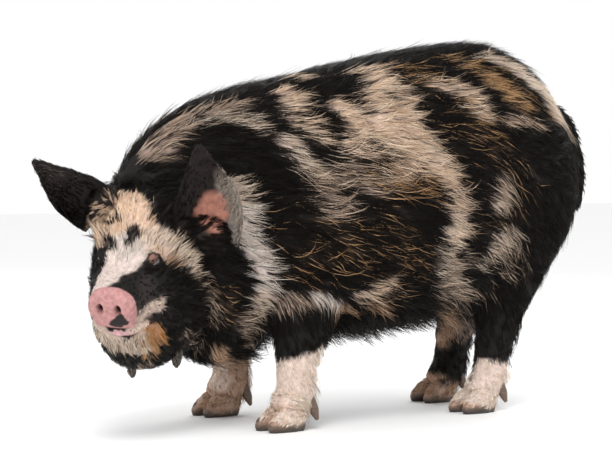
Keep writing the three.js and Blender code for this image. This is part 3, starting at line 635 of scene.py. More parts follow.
for name in TASSELS:
    rolled(skin_bm, tassel_form(name), 20, 16)
part_ends["tassels"] = len(skin_bm.verts)

for vert in skin_bm.verts:
    vert.co = Vector(to_metres(np.array(vert.co) / MM))
print("the skin has", len(skin_bm.verts), "points")

# %% [markdown]
# ## Markings
# A piebald coat is patches of ginger, cream and white over black, and few of its edges are
# sharp: hairs of both colours mix there. So a patch is a line of places on the body with a
# width, the share of hairs that have its colour, and the width of its soft edge. The same
# rule colours the skin and the hair, so both always agree.
#
# Patches on the camera's side are drawn as strokes over its view, which is easier than to
# guess their places in space. A line of sight then carries each stroke onto the solids.

# %% The tones of the coat
TONES = {
    # tone: the darkest and lightest colour of its hairs, and the share of black hairs
    "black": ((0.002, 0.002, 0.002), (0.014, 0.011, 0.009), 0),
    "ginger": ((0.58, 0.41, 0.30), (0.95, 0.79, 0.64), 0.09),
    "cream": ((0.52, 0.40, 0.31), (0.90, 0.80, 0.69), 0.14),
    "white": ((0.58, 0.51, 0.46), (0.88, 0.83, 0.78), 0.03),
    "tan": ((0.34, 0.21, 0.13), (0.74, 0.52, 0.36), 0.06),
    "pale": ((0.80, 0.64, 0.53), (0.98, 0.90, 0.82), 0),
    "frosted": ((0.32, 0.23, 0.17), (0.74, 0.60, 0.49), 0.45),
    "golden": ((0.42, 0.24, 0.11), (0.72, 0.47, 0.26), 0.1),
    "peach": ((0.64, 0.43, 0.29), (0.90, 0.73, 0.58), 0.02),
    "rust": ((0.42, 0.18, 0.06), (0.70, 0.37, 0.15), 0.15),
}
NAMES = list(TONES)
BLACK, GINGER, CREAM, WHITE, TAN, PALE, FROSTED, GOLDEN, PEACH, RUST = range(len(NAMES))
DARKEST = np.array([TONES[name][0] for name in NAMES])
LIGHTEST = np.array([TONES[name][1] for name in NAMES])
BLACK_SHARE = np.array([TONES[name][2] for name in NAMES])

# %% The patches drawn over the camera's view
# Each stroke: tone, share of its hairs, soft edge in millimetres, and its places, each with how
# far across and down it is in the view and how wide it is there, in pixels.
STROKES = {
    "crest, frosted": (FROSTED, 0.95, 16, [(160, 148, 14), (176, 128, 14), (195, 112, 10),
        (225, 104, 9), (246, 101, 7)]),
    "crest streak": (CREAM, 0.7, 12, [(205, 121, 5), (228, 118, 7), (250, 121, 7), (262, 130, 4)]),
    "shoulder, ginger": (GINGER, 0.9, 12, [(286, 92, 8), (297.5, 98, 11), (292, 112, 8)]),
    "shoulder, ginger top": (GINGER, 0.5, 10, [(288, 79, 4), (302, 78, 4)]),
    "shoulder band, upper": (GINGER, 0.8, 12, [(298, 122, 8), (312, 130, 9), (321.5, 138, 6)]),
    "shoulder band, pale": (CREAM, 0.9, 14, [(286, 142, 7), (297, 152, 9), (308, 164, 8), (316, 174, 6)]),
    "shoulder band, lower": (FROSTED, 0.7, 18, [(318, 178, 9), (330, 190, 10), (328, 204, 10),
        (345, 208, 6)]),
    "saddle": (GINGER, 0.97, 12, [(358, 66, 7), (372, 72, 13), (386, 86, 17), (392, 104, 24),
        (400, 122, 22), (412, 138, 15), (424, 148, 10)]),
    "saddle, front": (GINGER, 0.97, 12, [(338, 104, 7), (352, 114, 12), (368, 124, 16), (388, 134, 14),
        (404, 146, 10)]),
    "saddle, under": (GINGER, 0.5, 18, [(352, 150, 8), (375, 156, 10), (402, 160, 11), (432, 166, 10)]),
    "saddle, spot": (BLACK, 0.85, 5, [(392, 94, 5), (397, 98, 3)]),
    "back, black behind the saddle": (GOLDEN, 0.25, 20, [(401.5, 66, 10), (422, 76, 14), (435.5, 92, 10)]),
    "mid flank, frosted": (FROSTED, 0.9, 16, [(346, 168, 9), (362, 178, 13), (380, 184, 13),
        (398, 174, 12)]),
    "mid flank, golden": (GOLDEN, 0.3, 24, [(385, 172, 12), (410, 180, 14), (438, 186, 10)]),
    "flank band, top": (GINGER, 0.9, 12, [(420, 138, 10), (430, 152, 12), (440, 166, 9)]),
    "flank band, pale": (CREAM, 0.85, 9, [(428, 146, 7), (438, 158, 8), (448, 170, 6)]),
    "flank band, middle": (GINGER, 0.75, 12, [(444, 170, 9), (455, 190, 9), (460, 212, 9), (458, 232, 9)]),
    "flank band, low": (CREAM, 0.7, 13, [(462, 206, 6), (455, 235, 8), (446, 252, 8),
        (447.5, 274.5, 12), (458, 288, 8)]),
    "flank fold": (FROSTED, 0.7, 14, [(462, 262, 8), (448, 282, 12), (465, 292, 10)]),
    "rump, ginger streaks": (GINGER, 0.65, 16, [(440, 88, 8), (458, 89, 9), (472, 97, 9), (482, 112, 7)]),
    "rump, golden tail": (GOLDEN, 0.2, 22, [(470, 110, 12), (484, 130, 12), (490, 145, 8)]),
    "rump, golden strands": (GOLDEN, 0.03, 40, [(430, 115, 26), (480, 150, 34), (520, 190, 30),
        (490, 225, 26)]),
    "rump, upper streaks": (GOLDEN, 0.6, 12, [(450, 60, 6), (472, 68, 7), (492, 80, 7), (514, 96, 8),
        (524, 106, 6)]),
    "rump, small ginger": (GINGER, 0.85, 7, [(510, 122, 5), (524, 124, 5), (540, 127, 3)]),
    "rump stripe": (CREAM, 1, 6, [(487, 56, 7), (508, 66, 10), (530, 80, 12), (546, 96, 13),
        (556.5, 111.5, 12), (565, 128, 8)]),
    "rump stripe, pale": (PALE, 0.9, 8, [(520, 74, 6), (540, 90, 9), (556, 108, 9)]),
    "rump stripe, golden": (GOLDEN, 0.12, 16, [(470, 58, 6), (500, 74, 8), (530, 98, 9), (548, 118, 7)]),
    "rump, black top": (BLACK, 0.9, 8, [(430, 50, 6), (455, 45, 6), (478, 46, 5)]),
    "thigh, pale spot high": (FROSTED, 0.95, 12, [(496, 212, 9), (502, 198, 11), (508, 186, 8)]),
    "thigh, pale core high": (CREAM, 0.7, 9, [(496, 206, 5), (501, 199, 5)]),
    "thigh, pale stripe low": (CREAM, 0.95, 9, [(484, 262, 5), (494, 250, 8), (506, 236, 8),
        (512, 232, 5)]),
    "thigh, pale lower edge": (FROSTED, 0.7, 14, [(500, 256, 7), (512, 252, 6), (520, 246, 5)]),
    "thigh, brown wisps": (FROSTED, 0.4, 18, [(500, 272, 8), (520, 266, 8)]),
    "groin streaks": (FROSTED, 0.6, 14, [(448, 292, 7), (470, 296, 7), (485, 290, 5)]),
    "belly, ginger": (GINGER, 0.8, 12, [(362, 296, 6), (376, 290, 8), (392, 282, 7)]),
    "belly, brown edge": (TAN, 0.45, 12, [(338, 308, 5), (362, 309, 5), (390, 305, 5)]),
    "belly, golden hairs": (GOLDEN, 0.06, 40, [(370, 235, 22), (400, 245, 24), (410, 270, 22)]),
    "mid belly, frosted": (GOLDEN, 0.06, 24, [(405, 252, 14), (425, 262, 12)]),
    "shoulder, golden hairs": (GOLDEN, 0.06, 26, [(300, 262, 16), (330, 262, 16)]),
    "shoulder, golden strands": (GOLDEN, 0.03, 34, [(300, 225, 24), (330, 250, 24), (360, 260, 24)]),
    "neck stripe, high": (CREAM, 0.8, 12, [(224, 172, 6), (236, 186, 7), (244, 200, 8), (247, 214, 9)]),
    "neck stripe": (WHITE, 1, 12, [(246, 214, 9), (244, 228, 10), (252, 246, 9), (262, 262, 9),
        (268, 280, 9), (266, 296, 9)]),
    "neck stripe, foot": (CREAM, 0.8, 12, [(262, 300, 8), (256, 312, 7), (248, 322, 5)]),
    "fore leg, top stripe": (FROSTED, 0.85, 10, [(278, 303, 6), (298, 304, 6), (316, 300, 5)]),
    "fore leg, top stripe tip": (WHITE, 0.9, 7, [(316, 299, 4), (330, 299, 4), (338, 304, 3)]),
    "chest, brown": (FROSTED, 0.6, 14, [(246, 322, 8), (250, 336, 8)]),
    "jaw to neck, golden": (GOLDEN, 0.07, 20, [(222, 320, 10), (226, 300, 9)]),
    "cheek stripe": (CREAM, 0.75, 6, [(178, 254, 3), (188, 262, 3), (198, 274, 3)]),
    "cheek stripe, wisps": (FROSTED, 0.4, 10, [(198, 274, 5), (208, 288, 6), (214, 302, 5),
        (216, 320, 4)]),
    "cheek, pale hairs low": (FROSTED, 0.35, 12, [(187.5, 337, 6), (198, 344, 7), (206, 350, 5)]),
    "forehead": (PEACH, 0.98, 9, [(107, 210, 14), (122, 204, 15), (138, 210, 13)]),
    "forehead, low": (PEACH, 0.98, 9, [(92, 235.5, 9), (110, 236, 12), (134, 234, 14), (150, 230, 10)]),
    "brow fan": (CREAM, 0.95, 9, [(150, 236, 9), (166, 240, 9), (182, 248, 7), (194, 258, 5)]),
    "blaze": (WHITE, 1, 6, [(127, 248, 17), (124, 260, 17), (112, 272, 14), (104, 281, 11), (97, 288, 8)]),
    "blaze, near the eye": (WHITE, 0.95, 5, [(138, 254, 6), (144, 258, 3)]),
    "forehead spot": (BLACK, 0.9, 4, [(132, 228, 4), (134, 236, 4), (130, 243, 3)]),
    "forehead spot, right": (BLACK, 0.9, 4, [(106, 238, 3), (110, 248, 4)]),
    "right eye": (BLACK, 0.95, 5, [(99, 256, 5), (96, 270, 6), (93, 282, 4)]),
    "eye hollow": (BLACK, 0.97, 6, [(144, 270, 5), (160, 271, 6), (176, 274, 7)]),
    "brow, low": (CREAM, 0.75, 6, [(150, 248, 5), (164, 250, 5), (180, 254, 4), (192, 264, 4)]),
    "brow hair over the eye": (TAN, 0.6, 6, [(160, 252, 5), (168, 257, 5), (178, 260, 4)]),
    "muzzle side": (BLACK, 0.97, 6, [(128, 280, 6), (139, 288, 8), (148, 296, 7)]),
    "mouth corner": (CREAM, 0.95, 7, [(138, 316, 5), (150, 310, 8), (160, 304, 6)]),
    "jaw, ginger": (RUST, 0.9, 8, [(146, 326, 5), (154, 332, 8), (158, 340, 7)]),
    "jaw, golden": (GOLDEN, 0.6, 7, [(138, 334, 5), (149.5, 346, 7), (148, 356, 5)]),
    "chin": (CREAM, 0.95, 8, [(99.5, 334, 6), (112, 344, 10), (128, 348, 11), (142, 348, 8)]),
    "chin, by the lip": (CREAM, 0.95, 6, [(98, 331, 5), (108, 337, 6), (126, 342, 7), (139.5, 338, 5)]),
    "jaw, golden tuft": (GOLDEN, 0.7, 5, [(99, 334, 3), (103, 347, 3)]),
    "chin, dark": (FROSTED, 0.6, 8, [(120, 366.5, 4), (134, 370, 5), (146, 366, 5)]),
    "fore leg near, sock": (PALE, 0.97, 5, [(284, 378, 10), (300, 372, 10), (314, 362, 9), (321.5, 351, 5)]),
    "fore leg near, shin": (PALE, 0.97, 5, [(290, 392, 20), (290, 412, 20)]),
    "fore leg far, front": (PALE, 0.95, 8, [(213.5, 374, 9), (224, 382, 10)]),
    "fore leg far, shin": (TAN, 0.85, 10, [(230, 388, 12), (222, 402, 12), (212, 410, 10)]),
    "fore leg far, rear": (FROSTED, 0.5, 10, [(244, 352, 7), (248, 372, 6)]),
    "fore leg far, top": (TAN, 0.6, 9, [(221.5, 352, 8), (232, 362, 9)]),
    "hind leg near, sock": (PALE, 0.97, 6, [(482, 370, 9), (494, 374, 10), (500, 380, 6)]),
    "hind leg near, shin": (PALE, 0.97, 6, [(490, 388, 14), (482, 402, 14)]),
    "hind leg far, thigh": (TAN, 0.9, 12, [(444, 308, 8), (446, 325, 8), (442, 338, 6)]),
    "hind leg far, thigh rear": (FROSTED, 0.6, 12, [(462, 310, 8), (466, 330, 8)]),
    "hind leg far, foot": (TAN, 0.85, 9, [(430, 384, 9), (438, 396, 10)]),
}

# A stroke may begin out of the camera's sight, here below the root of the right ear. The places
# are in the head's frame: forward, right, up and width in millimetres.
UNSEEN_STARTS = {"forehead": [(-60, 98, 13, 17)]}

# %% Where the strokes meet the body
VIEW_MIDDLE_OF_BODY = np.array((300.0, 230.0))
FARTHEST_SLIDE = 12
PLACE_GRAIN, NARROWEST = 5, 3

solids_bm = bmesh.new()
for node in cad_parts.values():
    solids_bm.from_mesh(node.data)
solids_tree = BVHTree.FromBMesh(solids_bm)
solids_bm.free()
camera_axes = camera.rotation_euler.to_matrix()


def met_in_view(across, down):
    """Where the line of sight through a pixel of the view meets the solids, or None."""
    aside, rise = across - VIEW_WIDE / 2, VIEW_TALL / 2 - down
    sight = camera_axes @ Vector((aside, rise, -VIEW_LENGTH))
    place = solids_tree.ray_cast(camera.location, sight.normalized())[0]
    return None if place is None else to_millimetres(place)


def drawn_on_body(places):
    """A stroke's places on the body; one that is just off the outline slides in to it."""
    line = []
    for across, down, wide in places:
        pixel = np.array((across, down), float)
        inward = unit(VIEW_MIDDLE_OF_BODY - pixel)
        for slide in range(FARTHEST_SLIDE + 1):
            place = met_in_view(*(pixel + slide * inward))
            if place is not None:
                break
        away = -np.array(camera_axes.col[2]) @ (place - np.array(CAMERA_AT))
        grained = PLACE_GRAIN * np.round(place / PLACE_GRAIN)
        line.append((*grained, max(NARROWEST, round(wide * away / VIEW_LENGTH))))
    return line


def line_in_head(places):
    return [(*in_head(f, r, u), width) for f, r, u, width in places]


PATCHES = []
for name, (tone, share, soft, places) in STROKES.items():
    line = line_in_head(UNSEEN_STARTS.get(name, [])) + drawn_on_body(places)
    PATCHES.append((tone, share, soft, line))
print("strokes:", len(PATCHES))

# %% The patches out of the camera's sight
# The places here are in millimetres, and the last number is the width.
PATCHES += [
    # the right side: neck, rump and crest
    (WHITE, 0.9, 12, [(-330, 110, 500, 14), (-320, 145, 430, 18), (-300, 150, 350, 14)]),
    (GINGER, 0.95, 7, [(290, 90, 670, 9), (350, 105, 630, 12), (410, 110, 560, 7)]),
    (FROSTED, 0.5, 20, [(-400, 60, 560, 20), (-330, 80, 575, 16)]),
    # the four feet, all round
    (PALE, 0.97, 5, [(-205, -116, 112, 40), (-214, -116, 85, 42), (-232, -116, 25, 48)]),
    (PALE, 0.97, 5, [(262, -94, 62, 38), (235, -94, 20, 48), (205, -84, 14, 40)]),
    (TAN, 0.95, 8, [(-176, 142, 135, 42), (-186, 142, 90, 42), (-206, 142, 20, 48)]),
    (PALE, 0.8, 8, [(-225, 135, 105, 22), (-225, 125, 70, 22)]),
    (TAN, 0.9, 8, [(285, 92, 12, 40), (255, 92, 15, 36)]),
]
FOOT_PATCHES = [
    (TAN, 0.55, 14, [(-240, -116, 30, 26), (-225, -110, 40, 22)]),
    (TAN, 0.45, 14, [(228, -94, 28, 26)]),
]
# In the head's frame: forward, right, up and width.
HEAD_PATCHES = [
    (CREAM, 0.97, 5, [(126, 46, -68, 9), (142, 38, -68, 10), (150, 20, -70, 9), (150, -6, -84, 6)]),
    (CREAM, 0.97, 5, [(150, -30, -69, 9), (142, -40, -67, 10), (128, -48, -66, 9)]),
]


def far_side(line):
    """A marking of the left flank carried over to the right and swayed, so that the sides differ."""
    return [(x + 40 * math.sin(z / 75 + 1), -y, z + 22 * math.sin(x / 85), width) for x, y, z, width in line]


PATCHES += [(tone, share, soft, far_side(line)) for tone, share, soft, line in PATCHES
            if all(-230 < x < 330 and y < -40 and z > 230 for x, y, z, _ in line)]
PATCHES += FOOT_PATCHES
PATCHES += [(tone, share, soft, line_in_head(line)) for tone, share, soft, line in HEAD_PATCHES]


def frayed(points, size, seed):
    """Noise from -1 to 1 in streaks along the coat; size is their width in millimetres."""
    x, y, z = points.T
    across = np.stack([0.35 * (x - 0.35 * z), y, z + 0.35 * x], axis=1) / size
    shift = Vector((seed * 13.1, seed * 7.7, seed * 3.3))
    return np.array([noise.noise(Vector(p) + shift) for p in across])


def patch_gap(points, line):
    """How far points are outside a line of places with widths; under 0 is inside."""
    gap = np.full(len(points), np.inf)
    rows = np.array(line, float)
    for a, b in zip(rows[:-1], rows[1:]):
        way = b[:3] - a[:3]
        t = np.clip(((points - a[:3]) @ way) / max(way @ way, 1e-6), 0, 1)
        near = a[:3] + t[:, None] * way
        reach = a[3] + t * (b[3] - a[3])
        gap = np.minimum(gap, np.linalg.norm(points - near, axis=1) - reach)
    return gap


def smoothstep(x, low, high):
    t = np.clip((x - low) / (high - low), 0, 1)
    return t * t * (3 - 2 * t)


PATCH_SPREAD = 3


def patch_shares(points):
    """For each patch in turn: its tone and the share of hairs that have it at each point."""
    fray = 0.9 * frayed(points, 30, 1) + 0.6 * frayed(points, 12, 2)
    for tone, share, soft, line in PATCHES:
        gap = (patch_gap(points, line) - PATCH_SPREAD) / soft + fray
        yield tone, share * (1 - smoothstep(gap, -0.6, 0.9))


print("patches:", len(PATCHES))

# %% [markdown]
# ## The skin as one object
# The hide is pink under pale hair and dark grey under black hair, and bare on the snout. Under pale
# hair it is also kept darker than the hair, as painted shade from the coat over it. Its colour is
# kept as an attribute on the points, which the material reads.

# %% Colours of the hide
DARK_HIDE, PINK_HIDE = np.array((0.006, 0.005, 0.0045)), np.array((0.58, 0.33, 0.28))
SNOUT_PINK, LIP_PINK = np.array((0.40, 0.205, 0.195)), np.array((0.52, 0.30, 0.31))
MUZZLE_GREY = np.array((0.022, 0.017, 0.016))
EAR_PINK, EAR_DARK = np.array((0.35, 0.155, 0.115)), np.array((0.013, 0.009, 0.008))
# The near-black below is painted shade for the insides of the nostrils and the mouth's opening; the fold
# pink is the skin's own.
PAINTED_HOLLOW_SHADE, FOLD_PINK = np.array((0.012, 0.006, 0.006)), np.array((0.21, 0.105, 0.085))

skin_points = to_millimetres(np.array([v.co for v in skin_bm.verts]))
skin = new_object("skin", skin_bm)
skin.data.polygons.foreach_set("use_smooth", [True] * len(skin.data.polygons))
skin_normals = np.array([v.normal for v in skin.data.vertices])


def mixed(below, above, share):
    return below * (1 - share[:, None]) + above * share[:, None]


PINK_FOLDS = [[(70, -45, 30, 5), (60, -50, 36, 4)], [(38, -72, 26, 5), (24, -80, 20, 5)]]
LOWER_LIP = [(149, -27, -69, 4), (152, -10, -70, 6.5), (150, 10, -69, 4.5)]
MOUTH_GAP = [(151, -24, -60, 1), (153, -8, -62, 3.5), (151, 12, -60, 1)]


def on_disc(local):
    """1 on the snout's bare disc."""
    return smoothstep(local[:, 0], SNOUT["from"] - 3, SNOUT["from"]) * smoothstep(local[:, 2], -61, -57)


def hide_colours(points):
    colour = np.tile(DARK_HIDE, (len(points), 1))
    for tone, share in patch_shares(points):
        hair = (DARKEST[tone] + LIGHTEST[tone]) / 2
        # Under pale hair the hide is half the hair's colour with a little pink: the halving is painted shade
        # under the coat.
        under = DARK_HIDE if tone == BLACK else 0.5 * hair + 0.25 * PINK_HIDE
        colour = mixed(colour, under, share * (1 - BLACK_SHARE[tone]))
    local = to_head(points)
    flank = patch_gap(local, [(98, -40, -12, 22), (128, -34, -22, 20), (140, -30, -34, 12)])
    colour = mixed(colour, MUZZLE_GREY, 1 - smoothstep(flank + 5 * frayed(local, 12, 7), -8, 8))
    disc = on_disc(local)
    colour = mixed(colour, SNOUT_PINK, disc)
    patch = np.minimum(patch_gap(local, [(168, -19, -27, 5), (168, -18, -38, 10), (165, -10, -50, 12)]),
                       patch_gap(local, [(168, -18, -38, 10), (165, -30, -51, 9)]))
    colour = mixed(colour, MUZZLE_GREY, disc * (1 - smoothstep(patch + 2.5 * frayed(local, 8, 5), -1, 1)))
    # The nostrils' pits get painted shade: near-black inside the holes.
    for side in (-1, 1):
        pit = np.hypot((local[:, 1] - side * NOSTRIL["across"]) / NOSTRIL["half"],
                       (local[:, 2] - NOSTRIL["up"]) / NOSTRIL["tall"])
        colour = mixed(colour, PAINTED_HOLLOW_SHADE, disc * (1 - smoothstep(pit, 0.6, 1.05)))
    for fold in PINK_FOLDS:
        near = patch_gap(local, fold) + 3 * frayed(local, 7, 6)
        colour = mixed(colour, FOLD_PINK, 1 - smoothstep(near, -3, 5))
    colour = mixed(colour, LIP_PINK, 1 - smoothstep(patch_gap(local, LOWER_LIP), -1, 1))
    # The gap of the mouth gets painted shade: near-black in the opening.
    return mixed(colour, PAINTED_HOLLOW_SHADE, 1 - smoothstep(patch_gap(local, MOUTH_GAP), -1, 1))


def ear_places(points, name):
    """Way along an ear, way across it and height over its hollow for points."""
    side, root, length, _, _ = EARS[name]
    axis, hollow, across = ear_axes(name)
    away = points - in_head(root[0], side * root[1], root[2])
    along = away @ axis / length
    return along, away @ across, away @ hollow - EAR_CURL * along**2


def in_cup(points, normals, name):
    """1 on the inner face of an ear and 0 elsewhere."""
    along, x, depth = ear_places(points, name)
    hollow = ear_axes(name)[1]
    toward = normals @ hollow > 0.15
    return (along > -0.12) & (along < 1.02) & (np.abs(x) < 62) & (np.abs(depth) < 50) & toward


def rosiness(points, name):
    """1 on the bare pink patch inside the left ear."""
    along, x, _ = ear_places(points, name)
    gap = np.hypot((along - 0.22) / 0.24, (x - 18) / 30) + 0.25 * frayed(points, 20, 9)
    return (1 - smoothstep(gap, 0.7, 1.1)) * (name == "ear_left")


RIM_GREY = np.array((0.36, 0.31, 0.27))


def rear_rim(points, name):
    """1 on the pale rear edge of the left ear."""
    along, x, depth = ear_places(points, name)
    edge = smoothstep(x + 4 * frayed(points, 10, 10), 30 * (1 - 0.6 * along), 42 * (1 - 0.6 * along))
    edge *= (along > -0.12) & (x < 66) & (np.abs(depth) < 45)
    return edge * (1 - smoothstep(along, 0.45, 0.75)) * (name == "ear_left")


hide = hide_colours(skin_points)
for name in EARS:
    hide = mixed(hide, 0.6 * RIM_GREY, rear_rim(skin_points, name))
    cup = in_cup(skin_points, skin_normals, name)
    hide = mixed(hide, EAR_DARK, cup * (1 - 0.8 * rear_rim(skin_points, name)))
    hide = mixed(hide, EAR_PINK, cup * rosiness(skin_points, name))


def paint(obj, attribute, colours):
    layer = obj.data.attributes.new(attribute, "FLOAT_COLOR", "POINT")
    rgba = np.concatenate([colours, np.ones((len(colours), 1))], axis=1)
    layer.data.foreach_set("color", rgba.ravel())


paint(skin, "hide", hide)
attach(skin, "root")
flesh = ["head", "snout", "neck", "torso", "tail", "ear_left", "ear_right", *TASSELS]
flesh += [part + "_leg_" + name for part in ("upper", "lower") for name in LEGS]
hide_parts(*flesh)
print("skin faces:", len(skin.data.polygons))

# %% [markdown]
# ## Materials of skin, hair, horn and eyes
# Each finish is built from noise at the scale of the real thing: pores and short hair on the
# skin, growth rings on the horn. The colours come from the attribute on the points.

# %% Materials
def node_material(name, roughness, specular=0.5):
    made = bpy.data.materials.new(name)
    made.use_nodes = True
    shader = made.node_tree.nodes["Principled BSDF"]
    shader.inputs["Roughness"].default_value = roughness
    shader.inputs["Specular IOR Level"].default_value = specular
    return made, made.node_tree, shader


def noise_node(tree, scale, detail, stretch=(1, 1, 1)):
    place = tree.nodes.new("ShaderNodeTexCoord")
    mapping = tree.nodes.new("ShaderNodeMapping")
    mapping.inputs["Scale"].default_value = stretch
    tree.links.new(place.outputs["Object"], mapping.inputs["Vector"])
    made = tree.nodes.new("ShaderNodeTexNoise")
    made.inputs["Scale"].default_value = scale
    made.inputs["Detail"].default_value = detail
    tree.links.new(mapping.outputs["Vector"], made.inputs["Vector"])
    return made.outputs["Fac"]


def between(tree, fac, low, high):
    """A value from low to high for a noise."""
    made = tree.nodes.new("ShaderNodeMapRange")
    made.inputs["From Min"].default_value = 0.3
    made.inputs["From Max"].default_value = 0.7
    made.inputs["To Min"].default_value = low
    made.inputs["To Max"].default_value = high
    tree.links.new(fac, made.inputs["Value"])
    return made.outputs["Result"]


def tinted(tree, attribute, fac, low, high):
    """The colour of an attribute, darker and lighter by a noise."""
    colour = tree.nodes.new("ShaderNodeAttribute")
    colour.attribute_name = attribute
    scale = tree.nodes.new("ShaderNodeVectorMath")
    scale.operation = "SCALE"
    tree.links.new(colour.outputs["Color"], scale.inputs[0])
    tree.links.new(between(tree, fac, low, high), scale.inputs["Scale"])
    return scale.outputs["Vector"]


def bump(tree, shader, fac, strength, distance):
    made = tree.nodes.new("ShaderNodeBump")
    made.inputs["Strength"].default_value = strength
    made.inputs["Distance"].default_value = distance
    tree.links.new(fac, made.inputs["Height"])
    tree.links.new(made.outputs["Normal"], shader.inputs["Normal"])


hide_material, tree, shader = node_material("hide", 0.7, 0.15)
tree.links.new(tinted(tree, "hide", noise_node(tree, 140, 6), 0.75, 1.2), shader.inputs["Base Color"])
tree.links.new(between(tree, noise_node(tree, 300, 3), 0.6, 0.8), shader.inputs["Roughness"])
bump(tree, shader, noise_node(tree, 700, 5), 0.45, 0.0012)
skin.data.materials.append(hide_material)

hair_material, tree, shader = node_material("hair", 0.5, 0.1)
tree.links.new(tinted(tree, "hair", noise_node(tree, 400, 2), 0.85, 1.15), shader.inputs["Base Color"])
tree.links.new(between(tree, noise_node(tree, 220, 2), 0.36, 0.56), shader.inputs["Roughness"])

horn_material, tree, shader = node_material("horn", 0.4)
growth = noise_node(tree, 90, 5, (1, 1, 4))
tree.links.new(tinted(tree, "horn", growth, 0.6, 1.25), shader.inputs["Base Color"])
bump(tree, shader, noise_node(tree, 120, 6, (1, 1, 6)), 0.6, 0.001)

eye_material, tree, shader = node_material("eye_gloss", 0.06)
tree.links.new(tinted(tree, "iris", noise_node(tree, 900, 3), 0.7, 1.3), shader.inputs["Base Color"])
shader.inputs["Coat Weight"].default_value = 1.0

# %% [markdown]
# ## Eyes and claws
# Each eye is a fine ball with a brown iris and a dark pupil, behind the lids. Each claw is a
# rolled form cut flat by the floor, with the faint rings that horn grows in.

# %% Eyes
for name, side in (("eye_left", -1), ("eye_right", 1)):
    centre = in_head(EYE_AT[0], side * EYE_AT[1], EYE_AT[2])
    bm = bmesh.new()
    add_ball(bm, centre, [EYE_RADIUS] * 3, wide=48, high=32)
    for vert in bm.verts:
        vert.co = Vector(to_metres(np.array(vert.co) / MM))
    eye = new_object(name + "_ball", bm, eye_material)
    gaze = head_direction(0.45, side, 0.05)
    points = to_millimetres(np.array([v.co for v in eye.data.vertices])) - centre
    facing = unit(points) @ gaze
    iris = np.where(facing[:, None] > 0.97, (0.004, 0.003, 0.003), (0.035, 0.016, 0.008))
    paint(eye, "iris", np.where(facing[:, None] > 0.8, iris, (0.030, 0.020, 0.016)))
    eye.data.polygons.foreach_set("use_smooth", [True] * len(eye.data.polygons))
    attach(eye, "root")
    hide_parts(name)

# %% Claws
CLAW = [
    # ahead, rise, up, down, half width
    (-28, 18, 16, 28, 11),
    (-8, 22, 26, 31, 15.5),
    (16, 17, 22, 26, 15),
    (40, 8, 9, 15, 8),
]
CLAW_ACROSS, CLAW_SPLAY = 17.5, math.radians(5)
DEW_CLAW = {"across": 20, "back": 46, "rise": 46, "length": 30, "half": 8, "lean": math.radians(28)}
HORN_DARK, HORN_MID, HORN_PINK = (np.array(c) for c in (
    (0.035, 0.025, 0.020), (0.12, 0.075, 0.052), (0.36, 0.215, 0.155)))


def claw_form(hoof, inner):
    toe = np.array([-math.cos(CLAW_SPLAY * inner), math.sin(CLAW_SPLAY * inner), 0])
    centre = np.array([hoof[0], hoof[1] + inner * CLAW_ACROSS, 0])
    at = [centre + ahead * toe + np.array([0, 0, rise]) for ahead, rise, *_ in CLAW]
    sizes = [(half, up, down) for _, _, up, down, half in CLAW]
    return make_form(at, sizes, [0] * 4, [0] * 4, (0, 1, 0), 6, 7)


def dew_claw_form(hoof, inner):
    lean, length = DEW_CLAW["lean"], DEW_CLAW["length"]
    top = np.array([hoof[0] + DEW_CLAW["back"], hoof[1] + inner * DEW_CLAW["across"], DEW_CLAW["rise"]])
    down = unit(np.array([math.sin(lean) * 0.6, inner * 0.15, -math.cos(lean)]))
    at = [top + k * length * down for k in (-0.4, 0.35, 0.9)]
    sizes = [(DEW_CLAW["half"], 9, 9), (DEW_CLAW["half"], 9, 9), (4, 4, 4)]
    return make_form(at, sizes, [0] * 3, [0] * 3, (0, 1, 0), 3, 4)


def hair_line(points):
    """Height on a claw above which it is under the skin of the foot."""
    back = points[:, 0] - points[:, 0].min()
    return 22 - 8 * smoothstep(back, 16, 44) + 3 * frayed(points, 12, 12)


def horn_piece(name, form, cad_name):
    bm = bmesh.new()
    rolled(bm, form, 40, 32)
    for vert in bm.verts:
        ring = 0.35 * math.sin(vert.co.z / MM * 1.3 + 3 * noise.noise(vert.co * 40))
        vert.co += vert.normal * ring * MM
        place = to_metres(np.array(vert.co) / MM)
        vert.co = Vector((place[0], place[1], max(place[2], 0)))
    made = new_object(name, bm, horn_material)
    points = to_millimetres(np.array([v.co for v in made.data.vertices]))
    height = points[:, 2] + 5 * frayed(points, 14, 4)
    colour = mixed(HORN_DARK, HORN_MID, smoothstep(height, 3, 10))
    if name.startswith("horn"):
        colour = mixed(colour, HORN_PINK, smoothstep(height, 10, 18))
        colour = mixed(colour, hide_colours(points), smoothstep(points[:, 2] - hair_line(points), -3, 3))
    paint(made, "horn", colour)
    made.data.polygons.foreach_set("use_smooth", [True] * len(made.data.polygons))
    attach(made, "root")
    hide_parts(cad_name)
    return made


claws = []
for name, (_, hoof, side) in LEGS.items():
    for inner, word in ((side, "outer"), (-side, "inner")):
        claws.append(horn_piece(f"horn_{word}_{name}", claw_form(hoof, inner), f"claw_{word}_{name}"))
        claws.append(
            horn_piece(f"dew_horn_{word}_{name}", dew_claw_form(hoof, inner), f"dew_claw_{word}_{name}"))
print("claws:", len(claws))

# %% [markdown]
# ## Coat
# Hair could be grown as particles, but hair that is real mesh shows the same everywhere. Each
# hair is a thin three-sided blade with a sunk root. Hairs stand in tufts, and the hairs of a
# tuft lean towards one guide that follows the skin in the coat's direction, which a rule
# gives for each part of the body. The tufts are spread by area, and each part of the coat is
# one joined mesh.

# %% The surface that the hair follows
ground = bmesh.new()
for piece in (skin, *claws):
    ground.from_mesh(piece.data)
ground_tree = BVHTree.FromBMesh(ground)
ground.free()


